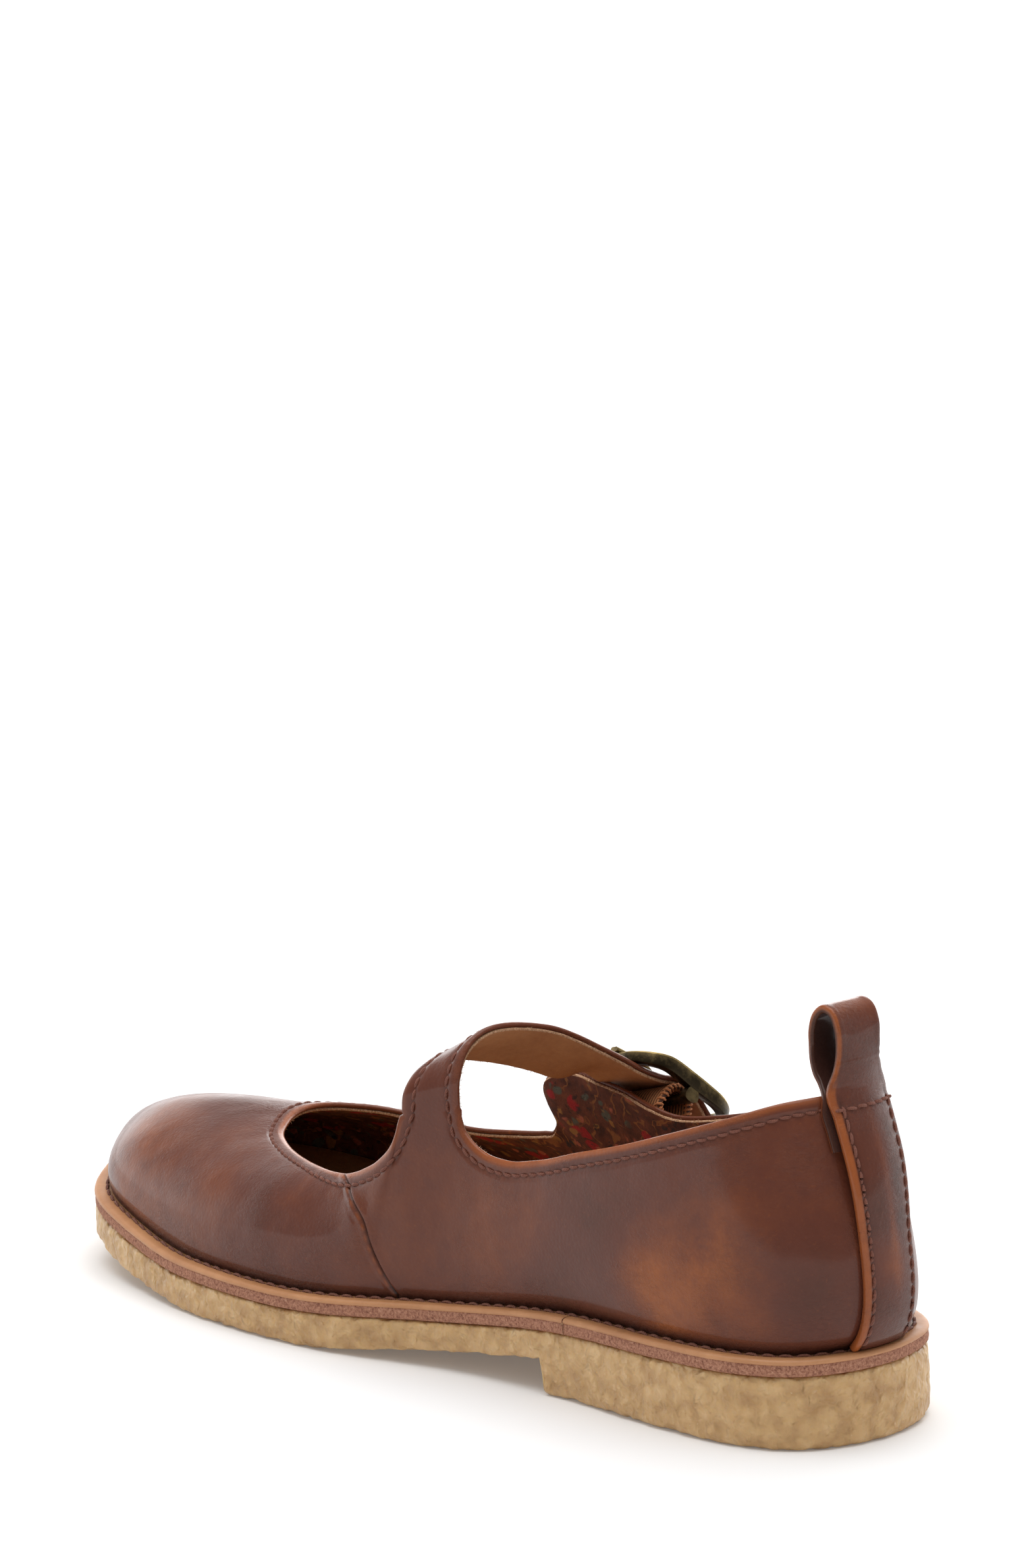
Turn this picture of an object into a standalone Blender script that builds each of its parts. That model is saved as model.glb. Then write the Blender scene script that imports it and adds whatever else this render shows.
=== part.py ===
"""Mary jane shoe for the right foot: crepe sole, leather welt, hollow upper with its own strap, centre-bar buckle.

Metres, +Z up. +X runs from heel to toe and +Y to the inner (big toe) side. The floor is z = 0, and the
origin is the floor point under the middle of the heel.
"""

import math

import bmesh
import bpy
from mathutils import Vector

# Driving sizes
SOLE_LENGTH = 0.272
BALL_WIDTH = 0.0945
BACK_HEIGHT = 0.080  # collar above the floor at the back of the heel
HEEL_SEAT = 0.0167  # height of the crepe's top face at the heel
BREAST_SEAT = 0.0156  # the same above the heel breast
WAIST_SEAT = 0.0110
BALL_SEAT = 0.0083
TOE_SEAT = 0.0163
HEEL_STEP = 0.0081  # height of the waist's underside just in front of the heel
TOE_SPRING = 0.0103
HEEL_REST = 0.034  # centre of the heel's flat, from the back of the sole
BREAST_PLACE = 0.0845  # heel breast, from the back of the sole
BREAST_SLOPE = 0.0016
WELT_THICKNESS = 0.0040
WELT_WIDTH = 0.0120
FEATHER_INSET = 0.0038  # upper's foot, in from the edge of the welt
UPPER_WALL = 0.0018
STRAP_WIDTH = 0.0172
INSOLE_HEIGHT = 0.0030  # insole above the welt
INSOLE_RIM = 0.0008  # chamfer of the board's top edge
INSOLE_LIFT = 0.0001
INSOLE_GAP = 0.0008  # between the insole's plug and the welt's inner edge
INSOLE_CLEARANCE = 0.0022  # between the insole's edge and the upper's inner face
FOOT_GAP = 0.0010  # between the welt and the upper's outer face, whose inner edge hangs a little lower
GAP = 0.0003
BACKSTAY_WIDTH = 0.0160
LOOP_WIDTH = 0.0130
LOOP_HEIGHT = 0.0180  # middle of the pull loop's leather above the collar
LOOP_DEPTH = 0.0092
LOOP_TUCK = 0.18  # share of the wall's height that the loop's inner leg goes down behind the backstay
RIBBON = 0.0018  # thickness of the backstay's leather
BUCKLE_WIDTH = 0.0262
BUCKLE_LENGTH = 0.0320
BUCKLE_BAR = 0.0028
BUCKLE_DEPTH = 0.0040
BUCKLE_CORNER = 0.0075  # corner radius at the middle of the frame's bar
BUCKLE_EDGE = 0.0005  # chamfer along the frame's edges
CENTRE_BAR_RADIUS = 0.0012
LUG_HALF = 0.0020  # half length of the lugs that carry the centre bar
LUG_OVERLAP = 0.0008  # how far the lugs reach into the frame
PRONG_WIDTH = 0.0024
PRONG_THICKNESS = 0.0012
PRONG_OVERHANG = 0.0016  # prong's tip past the middle of the frame's end bar
ELASTIC_WIDTH = 0.0186
ELASTIC_THICKNESS = 0.0012

# Plan outline of the welt: share of the length, then half widths as shares of the ball width
OUTLINE = (
    # along, inner, outer
    (0.03, 0.227, 0.227),
    (0.08, 0.300, 0.300),
    (0.16, 0.324, 0.324),
    (0.28, 0.318, 0.371),
    (0.42, 0.351, 0.402),
    (0.56, 0.453, 0.498),
    (0.70, 0.470, 0.529),
    (0.82, 0.415, 0.466),
    (0.92, 0.317, 0.318),
    (0.98, 0.141, 0.150),
)
TOE_POINT = 0.005  # side shift of the toe's front to the inner side

# Height of the crepe's top face along the sole
SEAT = (
    # along, height
    (0.00, HEEL_SEAT * 1.036),
    (0.12, HEEL_SEAT),
    (0.28, BREAST_SEAT),
    (0.45, WAIST_SEAT),
    (0.62, BALL_SEAT),
    (0.74, BALL_SEAT * 1.04),
    (0.90, TOE_SEAT * 0.83),
    (1.00, TOE_SEAT),
)

# Height of the underside in front of the heel
TREAD = (
    # along, height
    (BREAST_PLACE / SOLE_LENGTH, HEEL_STEP),
    (0.45, HEEL_STEP * 0.45),
    (0.59, 0.0),
    (0.72, 0.0),
    (0.82, TOE_SPRING * 0.23),
    (1.00, TOE_SPRING),
)

# Side of the crepe sole: share of its height, inset from the welt's edge
SOLE_SIDE = (
    # up, inset
    (0.00, 0.0020),
    (0.12, 0.0004),
    (0.50, 0.0000),
    (0.88, 0.0002),
    (1.00, 0.0010),
)

# Cross section of the welt: inset from its edge, share of its thickness
WELT_SECTION = (
    # in, up
    (0.0000, 0.00),
    (0.0000, 0.62),
    (0.0005, 0.88),
    (0.0014, 1.00),
    (WELT_WIDTH, 1.00),
    (WELT_WIDTH, 0.00),
)
WELT_JOINT = 0.177  # place of the welt's butt joint around the outline

# Topline of the upper from the strap's front edge, over the throat, the outer tab and the collar, to the strap's
# rear edge. The first number is the place around the outline, the others are shares of length, ball width and back height.
TOPLINE = (
    # around, along, side, up
    (0.249, 0.4717, 0.3418, 0.750),
    (0.2525, 0.4750, 0.3524, 0.694),
    (0.256, 0.4824, 0.3587, 0.644),
    (0.260, 0.4985, 0.3619, 0.595),
    (0.265, 0.5184, 0.3598, 0.559),
    (0.272, 0.5386, 0.3513, 0.533),
    (0.285, 0.5680, 0.3280, 0.513),
    (0.305, 0.6080, 0.2900, 0.499),
    (0.335, 0.6620, 0.2328, 0.493),
    (0.370, 0.7060, 0.1693, 0.500),
    (0.420, 0.7335, 0.0899, 0.516),
    (0.460, 0.7445, 0.0317, 0.527),
    (0.500, 0.7482, -0.0265, 0.531),
    (0.540, 0.7463, -0.0847, 0.527),
    (0.580, 0.7371, -0.1323, 0.520),
    (0.630, 0.7096, -0.1958, 0.507),
    (0.670, 0.6691, -0.2487, 0.486),
    (0.700, 0.6250, -0.2804, 0.475),
    (0.725, 0.5790, -0.2963, 0.491),
    (0.742, 0.5404, -0.3037, 0.511),
    (0.752, 0.5257, -0.3058, 0.525),
    (0.758, 0.5184, -0.2984, 0.562),
    (0.764, 0.5165, -0.2804, 0.625),
    (0.770, 0.5147, -0.2593, 0.682),
    (0.777, 0.5048, -0.2434, 0.722),
    (0.788, 0.4713, -0.2434, 0.755),
    (0.800, 0.4382, -0.2434, 0.744),
    (0.815, 0.4059, -0.2434, 0.731),
    (0.830, 0.3735, -0.2455, 0.702),
    (0.845, 0.3440, -0.2593, 0.684),
    (0.862, 0.3000, -0.2857, 0.704),
    (0.885, 0.2330, -0.2980, 0.762),
    (0.910, 0.1580, -0.2930, 0.845),
    (0.935, 0.1060, -0.2420, 0.925),
    (0.960, 0.0675, -0.1700, 0.976),
    (0.980, 0.0450, -0.0850, 0.994),
    (1.000, 0.0345, 0.0000, 0.998),
    (1.020, 0.0385, 0.0850, 0.995),
    (1.040, 0.0580, 0.1700, 0.980),
    (1.065, 0.0970, 0.2500, 0.930),
    (1.090, 0.1500, 0.2820, 0.867),
    (1.120, 0.2030, 0.2960, 0.806),
    (1.160, 0.2640, 0.3000, 0.745),
    (1.190, 0.3180, 0.3000, 0.690),
    (1.205, 0.3530, 0.3016, 0.670),
    (1.213, 0.3768, 0.3016, 0.675),
    (1.220, 0.3952, 0.3026, 0.700),
    (1.226, 0.4074, 0.3037, 0.740),
    (1.231, 0.4118, 0.3026, 0.796),
)
ROOT_REAR = TOPLINE[-1][0] - 1.0
ROOT_FRONT = TOPLINE[0][0]

# Handles of the curve from the welt up to the topline, shares of the back height: the foot's along the outline's
# normal and up, the topline's along, to the inner side and up
WALL = (
    # around, out, rise, along, side, up
    (0.000, 0.135, 0.100, -0.108, 0.000, -0.275),
    (0.025, 0.138, 0.100, -0.104, 0.015, -0.275),
    (0.050, 0.088, 0.100, -0.068, 0.030, -0.275),
    (0.100, 0.060, 0.112, -0.020, 0.050, -0.250),
    (0.160, 0.069, 0.125, 0.000, 0.050, -0.200),
    (0.205, 0.056, 0.125, 0.000, 0.031, -0.150),
    (0.240, 0.044, 0.150, 0.000, 0.019, -0.150),
    (0.265, 0.038, 0.150, 0.012, 0.031, -0.100),
    (0.300, 0.038, 0.175, 0.038, 0.112, -0.019),
    (0.330, 0.038, 0.175, 0.075, 0.150, 0.006),
    (0.370, 0.038, 0.162, 0.175, 0.150, 0.012),
    (0.420, 0.051, 0.155, 0.368, 0.133, 0.040),
    (0.460, 0.062, 0.152, 0.490, 0.094, 0.045),
    (0.500, 0.055, 0.142, 0.536, 0.054, 0.009),
    (0.540, 0.043, 0.138, 0.460, 0.010, -0.078),
    (0.580, 0.034, 0.142, 0.342, -0.078, -0.096),
    (0.630, 0.038, 0.164, 0.187, -0.151, -0.078),
    (0.670, 0.038, 0.170, 0.088, -0.165, -0.082),
    (0.700, 0.038, 0.180, 0.038, -0.150, -0.080),
    (0.745, 0.044, 0.175, 0.012, -0.062, -0.088),
    (0.770, 0.044, 0.162, 0.000, -0.050, -0.175),
    (0.800, 0.056, 0.150, 0.000, -0.056, -0.200),
    (0.845, 0.062, 0.138, 0.000, -0.056, -0.175),
    (0.900, 0.056, 0.125, -0.012, -0.050, -0.212),
    (0.950, 0.066, 0.106, -0.065, -0.030, -0.262),
)

# Strap from its root on the inner quarter, over the instep and through the buckle to its tip: rear edge, then front
# edge, as shares of length, ball width and back height
STRAP = (
    # along, side, up of the rear edge; along, side, up of the front edge
    (0.4118, 0.3005, 0.872, 0.4688, 0.3418, 0.812),
    (0.4118, 0.2804, 0.945, 0.4680, 0.3153, 0.858),
    (0.4118, 0.2466, 0.990, 0.4680, 0.2709, 0.886),
    (0.4110, 0.1905, 1.015, 0.4688, 0.2116, 0.900),
    (0.4096, 0.1122, 1.012, 0.4688, 0.1270, 0.882),
    (0.4044, 0.0085, 0.984, 0.4654, 0.0212, 0.846),
    (0.3971, -0.0582, 0.948, 0.4614, -0.0582, 0.812),
    (0.3897, -0.1217, 0.902, 0.4540, -0.1270, 0.780),
)

# Path of the strap's outer face at the buckle: along the buckle from its centre bar, out from that bar's centre
STRAP_AT_BUCKLE = (
    # down, out
    (-0.0185, 0.0033),
    (-0.0125, 0.0031),
    (-0.0065, 0.0037),
    (-0.0025, 0.0048),
    (0.0015, 0.0050),
    (0.0055, 0.0032),
    (0.0098, 0.0002),
    (0.0142, -0.0024),
    (0.0188, -0.0056),
    (0.0225, -0.0096),
    (0.0250, -0.0146),
)

# Buckle: the middle of its centre bar, as shares of length, ball width and back height, and its directions
BUCKLE_PLACE = (0.4015, -0.3355, 0.669)
BUCKLE_DOWN = Vector((-0.168, -0.838, -0.520)).normalized()
BUCKLE_ACROSS = (Vector((0.953, -0.030, -0.285)) - BUCKLE_DOWN * 0.02).normalized()

# Frame of the buckle: share of the half length from the centre bar, height of the frame's middle over that bar's
# centre, share of the frame's depth
FRAME_ARCH = (
    # down, out, depth
    (-1.00, 0.0050, 0.70),
    (-0.60, 0.0054, 0.88),
    (0.00, 0.0040, 1.00),
    (0.50, 0.0026, 0.90),
    (1.00, 0.0009, 0.70),
)

# Elastic band round the centre bar, from its inner leg to its outer leg
ELASTIC_TURN = (
    # down, out
    (-0.0049, -0.0006),
    (-0.0036, 0.0013),
    (-0.0014, 0.0023),
    (0.0007, 0.0021),
    (0.0021, 0.0009),
    (0.0025, -0.0010),
    (0.0031, -0.0042),
    (0.0046, -0.0084),
)
# Where its two legs lie on the quarter, down from the centre bar
ELASTIC_INNER = (0.0080, 0.0055, 0.0030, 0.0005)
ELASTIC_OUTER = (0.0140, 0.0165, 0.0190)

# Prong from the centre bar's curl, up through the strap, towards the frame's upper end
PRONG_PATH = (
    # down, out
    (-0.0016, 0.0030),
    (-0.0036, 0.0052),
    (-0.0062, 0.0066),
)
# Room cut for the prong: range down the buckle, then range out from its centre bar
PRONG_HOLE = ((-0.0056, 0.0002), (0.0018, 0.0075))
PRONG_SLOT = ((-0.0050, 0.0040), (-0.0030, 0.0060))

# Pull loop from its outer leg at the collar to its inner leg: shares of its depth and height
LOOP = (
    # forward, up
    (0.01, 0.28),
    (0.03, 0.55),
    (0.11, 0.79),
    (0.29, 0.96),
    (0.57, 1.00),
    (0.83, 0.91),
    (0.99, 0.71),
    (0.97, 0.50),
    (0.86, 0.32),
    (0.68, 0.17),
    (0.46, 0.06),
)

PIECES = {}


def level(rows, place, column=1):
    """Height between the rows of a table, without overshoot."""
    knots = [row[0] for row in rows]
    values = [row[column] for row in rows]
    if place <= knots[0]:
        return values[0]
    if place >= knots[-1]:
        return values[-1]
    steps = [(values[i + 1] - values[i]) / (knots[i + 1] - knots[i]) for i in range(len(rows) - 1)]

    def slope(i):
        if i == 0:
            return steps[0]
        if i == len(rows) - 1:
            return steps[-1]
        before, after = steps[i - 1], steps[i]
        return 2.0 * before * after / (before + after) if before * after > 0.0 else 0.0

    i = max(k for k in range(len(rows) - 1) if knots[k] <= place)
    return hermite(knots[i], knots[i + 1], values[i], values[i + 1], slope(i), slope(i + 1), place)


def hermite(start, end, first, last, first_slope, last_slope, place):
    span = end - start
    t = (place - start) / span
    return (
        first * (2 * t**3 - 3 * t**2 + 1)
        + first_slope * span * (t**3 - 2 * t**2 + t)
        + last * (3 * t**2 - 2 * t**3)
        + last_slope * span * (t**3 - t**2)
    )


def smooth(rows, place, column):
    """Value of a smooth curve through a table's rows; the first column is the place."""
    knots = [row[0] for row in rows]
    values = [row[column] for row in rows]

    def slope(i):
        if i == 0:
            return (values[1] - values[0]) / (knots[1] - knots[0])
        if i == len(rows) - 1:
            return (values[-1] - values[-2]) / (knots[-1] - knots[-2])
        before, after = knots[i] - knots[i - 1], knots[i + 1] - knots[i]
        return (
            (values[i] - values[i - 1]) / before * after + (values[i + 1] - values[i]) / after * before
        ) / (before + after)

    i = max(k for k in range(len(rows) - 1) if knots[k] <= place or k == 0)
    return hermite(knots[i], knots[i + 1], values[i], values[i + 1], slope(i), slope(i + 1), place)


def around_of(along):
    """Place around the outline, from 0 at the heel to 0.5 at the toe, of a share of the length."""
    return math.acos(1.0 - 2.0 * along) / (2.0 * math.pi)


def along_of(around):
    return (1.0 - math.cos(2.0 * math.pi * around)) / 2.0


def closed_rows(rows):
    """A table around the outline with its ends repeated, so that it closes smoothly."""
    before = [(row[0] - 1.0, *row[1:]) for row in rows[-3:]]
    after = [(row[0] + 1.0, *row[1:]) for row in rows[:3]]
    return before + list(rows) + after


OUTLINE_ROWS = closed_rows(
    [(0.0, 0.0)]
    + [(around_of(along), inner) for along, inner, outer in OUTLINE]
    + [(0.5, TOE_POINT)]
    + [(1.0 - around_of(along), -outer) for along, inner, outer in reversed(OUTLINE)]
)
WALL_ROWS = closed_rows(WALL)


def edge(around, inset=0.0):
    """Plan point on the welt's edge, or that far inside it."""
    around %= 1.0
    point, normal = edge_frame(around)
    return point - normal * inset


def edge_frame(around):
    step = 0.0005

    def at(place):
        return Vector((SOLE_LENGTH * along_of(place), BALL_WIDTH * smooth(OUTLINE_ROWS, place, 1), 0.0))

    tangent = (at(around + step) - at(around - step)).normalized()
    return at(around), Vector((-tangent.y, tangent.x, 0.0))


def seat(x):
    return level(SEAT, x / SOLE_LENGTH)


def tread(x):
    """Underside of the sole: the heel's flat, its breast, then the waist, the ball and the toe."""
    if x <= BREAST_PLACE - BREAST_SLOPE:
        return 0.0
    if x < BREAST_PLACE:
        return HEEL_STEP * (x - BREAST_PLACE + BREAST_SLOPE) / BREAST_SLOPE
    return level(TREAD, x / SOLE_LENGTH)


def foot_point(around):
    """Where the upper's outer face meets the welt."""
    point = edge(around, FEATHER_INSET)
    point.z = seat(edge(around).x) + WELT_THICKNESS + FOOT_GAP
    return point


def sized(along, side, up):
    return Vector((along * SOLE_LENGTH, side * BALL_WIDTH, up * BACK_HEIGHT))


def topline(around):
    if ROOT_REAR <= around <= ROOT_FRONT:
        share = (around - ROOT_REAR) / (ROOT_FRONT - ROOT_REAR)
        return sized(*TOPLINE[-1][1:]).lerp(sized(*TOPLINE[0][1:]), share)
    place = around if around > ROOT_FRONT else around + 1.0
    return sized(*(smooth(TOPLINE, place, column) for column in (1, 2, 3)))


def wall_point(around, share):
    """Outer face of the upper: share 0 is at the welt and 1 at the topline."""
    around %= 1.0
    foot = foot_point(around)
    top = topline(around)
    out, rise, along, side, up = (smooth(WALL_ROWS, around, column) * BACK_HEIGHT for column in range(1, 6))
    normal = edge_frame(around)[1]
    low = foot + normal * out + Vector((0.0, 0.0, rise))
    high = top + Vector((along, side, up))
    t, r = share, 1.0 - share
    return foot * r**3 + low * 3 * r * r * t + high * 3 * r * t * t + top * t**3


def wall_normal(around, share):
    step = 0.002
    low, high = max(0.0, share - step), min(1.0, share + step)
    rise = wall_point(around, high) - wall_point(around, low)
    run = wall_point(around + step, share) - wall_point(around - step, share)
    return rise.cross(run).normalized()


def buckle_point(across, down, out):
    """A point in the buckle's own directions, from the middle of its centre bar."""
    outward = BUCKLE_DOWN.cross(BUCKLE_ACROSS).normalized()
    return sized(*BUCKLE_PLACE) + BUCKLE_ACROSS * across + BUCKLE_DOWN * down + outward * out


def material(name, colour, roughness, metallic=0.0):
    made = bpy.data.materials.new(name)
    made.use_nodes = True
    shader = made.node_tree.nodes["Principled BSDF"]
    shader.inputs["Base Color"].default_value = (*colour, 1.0)
    shader.inputs["Roughness"].default_value = roughness
    shader.inputs["Metallic"].default_value = metallic
    return made


def add_piece(name, bm, finish, smooth_angle=40.0, sheet=False):
    """Makes an object of a closed body, or of an open sheet that is drawn with its outer side inwards."""
    if sheet:
        bmesh.ops.reverse_faces(bm, faces=bm.faces)
    else:
        bmesh.ops.recalc_face_normals(bm, faces=bm.faces)
    mesh = bpy.data.meshes.new(name)
    bm.to_mesh(mesh)
    bm.free()
    mesh.shade_smooth()
    mesh.set_sharp_from_angle(angle=math.radians(smooth_angle))
    piece = bpy.data.objects.new(name, mesh)
    piece.data.materials.append(finish)
    piece.parent = PIECES["shoe_frame"]
    bpy.context.collection.objects.link(piece)
    PIECES[name] = piece
    return piece


def bridge(bm, first, second, closed=True):
    """Quads between two rows of vertices."""
    count = len(first)
    for i in range(count if closed else count - 1):
        j = (i + 1) % count
        bm.faces.new((first[i], first[j], second[j], second[i]))


def cap_outline(bm, ring):
    """Closes a ring around the outline with strips from the inner side to the outer."""
    half = len(ring) // 2
    for i in range(half):
        a, b = ring[i], ring[i + 1]
        c, d = ring[(-i - 1) % len(ring)], ring[-i % len(ring)]
        corners = []
        for vertex in (a, b, c, d):
            if vertex not in corners:
                corners.append(vertex)
        bm.faces.new(corners)


def sole_places():
    """Places around the outline, closer at the heel breast, the same on both sides."""
    plain = [i / 88 for i in range(45)]
    front = around_of(BREAST_PLACE / SOLE_LENGTH)
    rear = around_of((BREAST_PLACE - BREAST_SLOPE) / SOLE_LENGTH)
    near = 0.4 / 88
    inner = sorted([p for p in plain if abs(p - front) > near and abs(p - rear) > near] + [front, rear])
    return inner + [1.0 - place for place in reversed(inner[1:-1])]


def make_outsole(finish):
    bm = bmesh.new()
    places = sole_places()
    rings = []
    for up, inset in SOLE_SIDE:
        ring = []
        for around in places:
            x = edge(around).x
            point = edge(around, inset)
            point.z = tread(x) + (seat(x) - tread(x)) * up
            ring.append(bm.verts.new(point))
        rings.append(ring)
    for low, high in zip(rings, rings[1:]):
        bridge(bm, low, high)
    cap_outline(bm, rings[0])
    cap_outline(bm, rings[-1])
    return add_piece("outsole", bm, finish)


def make_welt(finish):
    bm = bmesh.new()
    count = 96
    joint = GAP / (5.0 * SOLE_LENGTH)  # half the joint's gap, as a share around the outline
    start, end = WELT_JOINT + joint, WELT_JOINT + 1.0 - joint
    rings = []
    for i in range(count + 1):
        around = start + (end - start) * i / count
        x = edge(around).x
        ring = []
        for inset, up in WELT_SECTION:
            point = edge(around, inset)
            point.z = seat(x) + GAP + WELT_THICKNESS * up
            ring.append(bm.verts.new(point))
        rings.append(ring)
    for first, second in zip(rings, rings[1:]):
        bridge(bm, first, second)
    bm.faces.new(rings[0])
    bm.faces.new(rings[-1])
    return add_piece("welt", bm, finish)


def make_insole(finish):
    """Footbed: a plug inside the welt's ring under a board that lies on the welt."""
    plug = WELT_WIDTH + INSOLE_GAP
    board = FEATHER_INSET + UPPER_WALL + INSOLE_CLEARANCE
    low = GAP
    shoulder = WELT_THICKNESS + 2 * GAP + INSOLE_LIFT
    top = shoulder + INSOLE_HEIGHT
    section = (
        (plug, low),
        (plug, shoulder),
        (board, shoulder),
        (board, top - INSOLE_RIM),
        (board + INSOLE_RIM, top),
    )
    bm = bmesh.new()
    places = [i / 80 for i in range(80)]
    rings = []
    for inset, up in section:
        ring = []
        for around in places:
            point = edge(around, inset)
            point.z = seat(edge(around).x) + up
            ring.append(bm.verts.new(point))
        rings.append(ring)
    for first, second in zip(rings, rings[1:]):
        bridge(bm, first, second)
    cap_outline(bm, rings[0])
    cap_outline(bm, rings[-1])
    return add_piece("insole", bm, finish)


ROWS = 11
ROOT_COLUMNS = 5


def upper_places():
    """Columns of the upper: close together where the topline turns sharply."""
    stretches = (
        # from, to, columns
        (ROOT_REAR, ROOT_FRONT, ROOT_COLUMNS - 1),
        (ROOT_FRONT, 0.272, 8),
        (0.272, 0.420, 11),
        (0.420, 0.580, 12),
        (0.580, 0.742, 11),
        (0.742, 0.790, 12),
        (0.790, 0.862, 7),
        (0.862, 0.950, 6),
        (0.950, 1.050, 10),
        (1.050, 1.190, 9),
        (1.190, 1.0 + ROOT_REAR, 8),
    )
    places = []
    for start, end, count in stretches:
        places += [start + (end - start) * i / count for i in range(count)]
    return places


def strap_rows():
    """Edge points of the strap above its root: the table's rows, then the run through the buckle."""
    rows = [(sized(*row[:3]), sized(*row[3:])) for row in STRAP]
    for down, out in STRAP_AT_BUCKLE:
        half = STRAP_WIDTH / 2
        rows.append((buckle_point(-half, down, out), buckle_point(half, down, out)))
    return rows


def make_upper(finish):
    bm = bmesh.new()
    places = upper_places()
    grid = []
    for i in range(ROWS + 1):
        share = i / ROWS
        grid.append([bm.verts.new(wall_point(around, share)) for around in places])
    for low, high in zip(grid, grid[1:]):
        bridge(bm, low, high)
    root = grid[-1][:ROOT_COLUMNS]
    rows = strap_rows()
    ends = [(root[0].co.copy(), root[-1].co.copy())] + rows
    table = [[k] + list(rear) + list(front) for k, (rear, front) in enumerate(ends)]
    last = root
    half_steps = 2 * len(rows)
    for k in range(1, half_steps + 1):
        place = k / 2
        rear = Vector([smooth(table, place, column) for column in (1, 2, 3)])
        front = Vector([smooth(table, place, column) for column in (4, 5, 6)])
        row = [bm.verts.new(rear.lerp(front, j / (ROOT_COLUMNS - 1))) for j in range(ROOT_COLUMNS)]
        bridge(bm, last, row, closed=False)
        last = row
    upper = add_piece("upper", bm, finish, sheet=True)
    wall = upper.modifiers.new("wall", "SOLIDIFY")
    wall.thickness = UPPER_WALL
    wall.offset = -1.0
    return upper


def place_at_side(side, share):
    """Place around the heel where the upper's outer face is that far to the inner side."""
    low, high = -0.14, 0.14
    for _ in range(30):
        middle = (low + high) / 2
        if wall_point(middle, share).y < side:
            low = middle
        else:
            high = middle
    return (low + high) / 2


def place_at_along(x, share):
    """Place around the outer quarter where the upper's outer face is that far along."""
    low, high = 0.76, 0.90
    for _ in range(30):
        middle = (low + high) / 2
        if wall_point(middle, share).x > x:
            low = middle
        else:
            high = middle
    return (low + high) / 2


def quarter_place(x, z):
    """Place and share on the outer quarter at that distance along and that height."""
    low, high = 0.0, 1.0
    for _ in range(24):
        share = (low + high) / 2
        around = place_at_along(x, share)
        if wall_point(around, share).z < z:
            low = share
        else:
            high = share
    return around, share


def off_wall(around, share, lift):
    return wall_point(around, share) + wall_normal(around, share) * lift


def make_sheet(name, rows, finish, thickness):
    """A leather or elastic strip: a grid through its middle, thickened both ways."""
    bm = bmesh.new()
    grid = [[bm.verts.new(point) for point in row] for row in rows]
    for first, second in zip(grid, grid[1:]):
        bridge(bm, first, second, closed=False)
    piece = add_piece(name, bm, finish, sheet=True)
    body = piece.modifiers.new("body", "SOLIDIFY")
    body.thickness = thickness
    body.offset = 0.0
    return piece


BACKSTAY_FOOT = 0.035  # share of the wall's height left free at the welt


def make_backstay(finish):
    """Heel strip that goes on above the collar as the pull loop and comes back down behind itself."""
    columns = (-1.0, -0.5, 0.0, 0.5, 1.0)
    half = BACKSTAY_WIDTH / 2
    near = GAP + RIBBON / 2
    far = near + GAP + RIBBON
    rows = []
    steps = 12
    for i in range(steps + 1):
        share = BACKSTAY_FOOT + (1.0 - BACKSTAY_FOOT) * i / steps
        rise = min(1.0, max(0.0, (share - 1.0 + 2.0 * LOOP_TUCK) / (0.75 * LOOP_TUCK)))
        lift = near + (far - near) * rise * rise * (3.0 - 2.0 * rise)
        rows.append([off_wall(place_at_side(side * half, share), share, lift) for side in columns])
    base = rows[-1]
    centre = base[2].copy()
    inner = [off_wall(place_at_side(side * half, 1.0), 1.0, near) for side in columns]
    for forward, up in LOOP:
        width = 1.0 + (LOOP_WIDTH / BACKSTAY_WIDTH - 1.0) * min(1.0, up * 2.0)
        flat = min(1.0, up * 1.4)
        row = []
        for side, start in zip(columns, base):
            bow = (start.x - centre.x) * (1.0 - flat)
            x = centre.x + forward * LOOP_DEPTH + bow
            row.append(Vector((x, side * half * width, centre.z + up * LOOP_HEIGHT)))
        rows.append(row)
    rows.append(inner)
    for share in (1.0 - LOOP_TUCK / 3, 1.0 - LOOP_TUCK * 2 / 3, 1.0 - LOOP_TUCK):
        rows.append([off_wall(place_at_side(side * half, share), share, near) for side in columns])
    return make_sheet("backstay", rows, finish, RIBBON)


def frame_ring():
    """Middle line of the buckle's frame: across, down and the direction away from its hole."""
    wide = (BUCKLE_WIDTH - BUCKLE_BAR) / 2
    long = (BUCKLE_LENGTH - BUCKLE_BAR) / 2
    straight = long - BUCKLE_CORNER
    ring = []
    for index, (side, end) in enumerate(((1, 1), (-1, 1), (-1, -1), (1, -1))):
        for k in range(7):
            angle = math.radians(90.0 * index + 15.0 * k)
            x, y = math.cos(angle), math.sin(angle)
            across = side * (wide - BUCKLE_CORNER) + BUCKLE_CORNER * x
            ring.append((across, end * straight + BUCKLE_CORNER * y, x, y))
        if side * end < 0:
            ring += [(side * wide, end * straight * share, side, 0.0) for share in (0.5, 0.0, -0.5)]
    return ring


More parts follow.
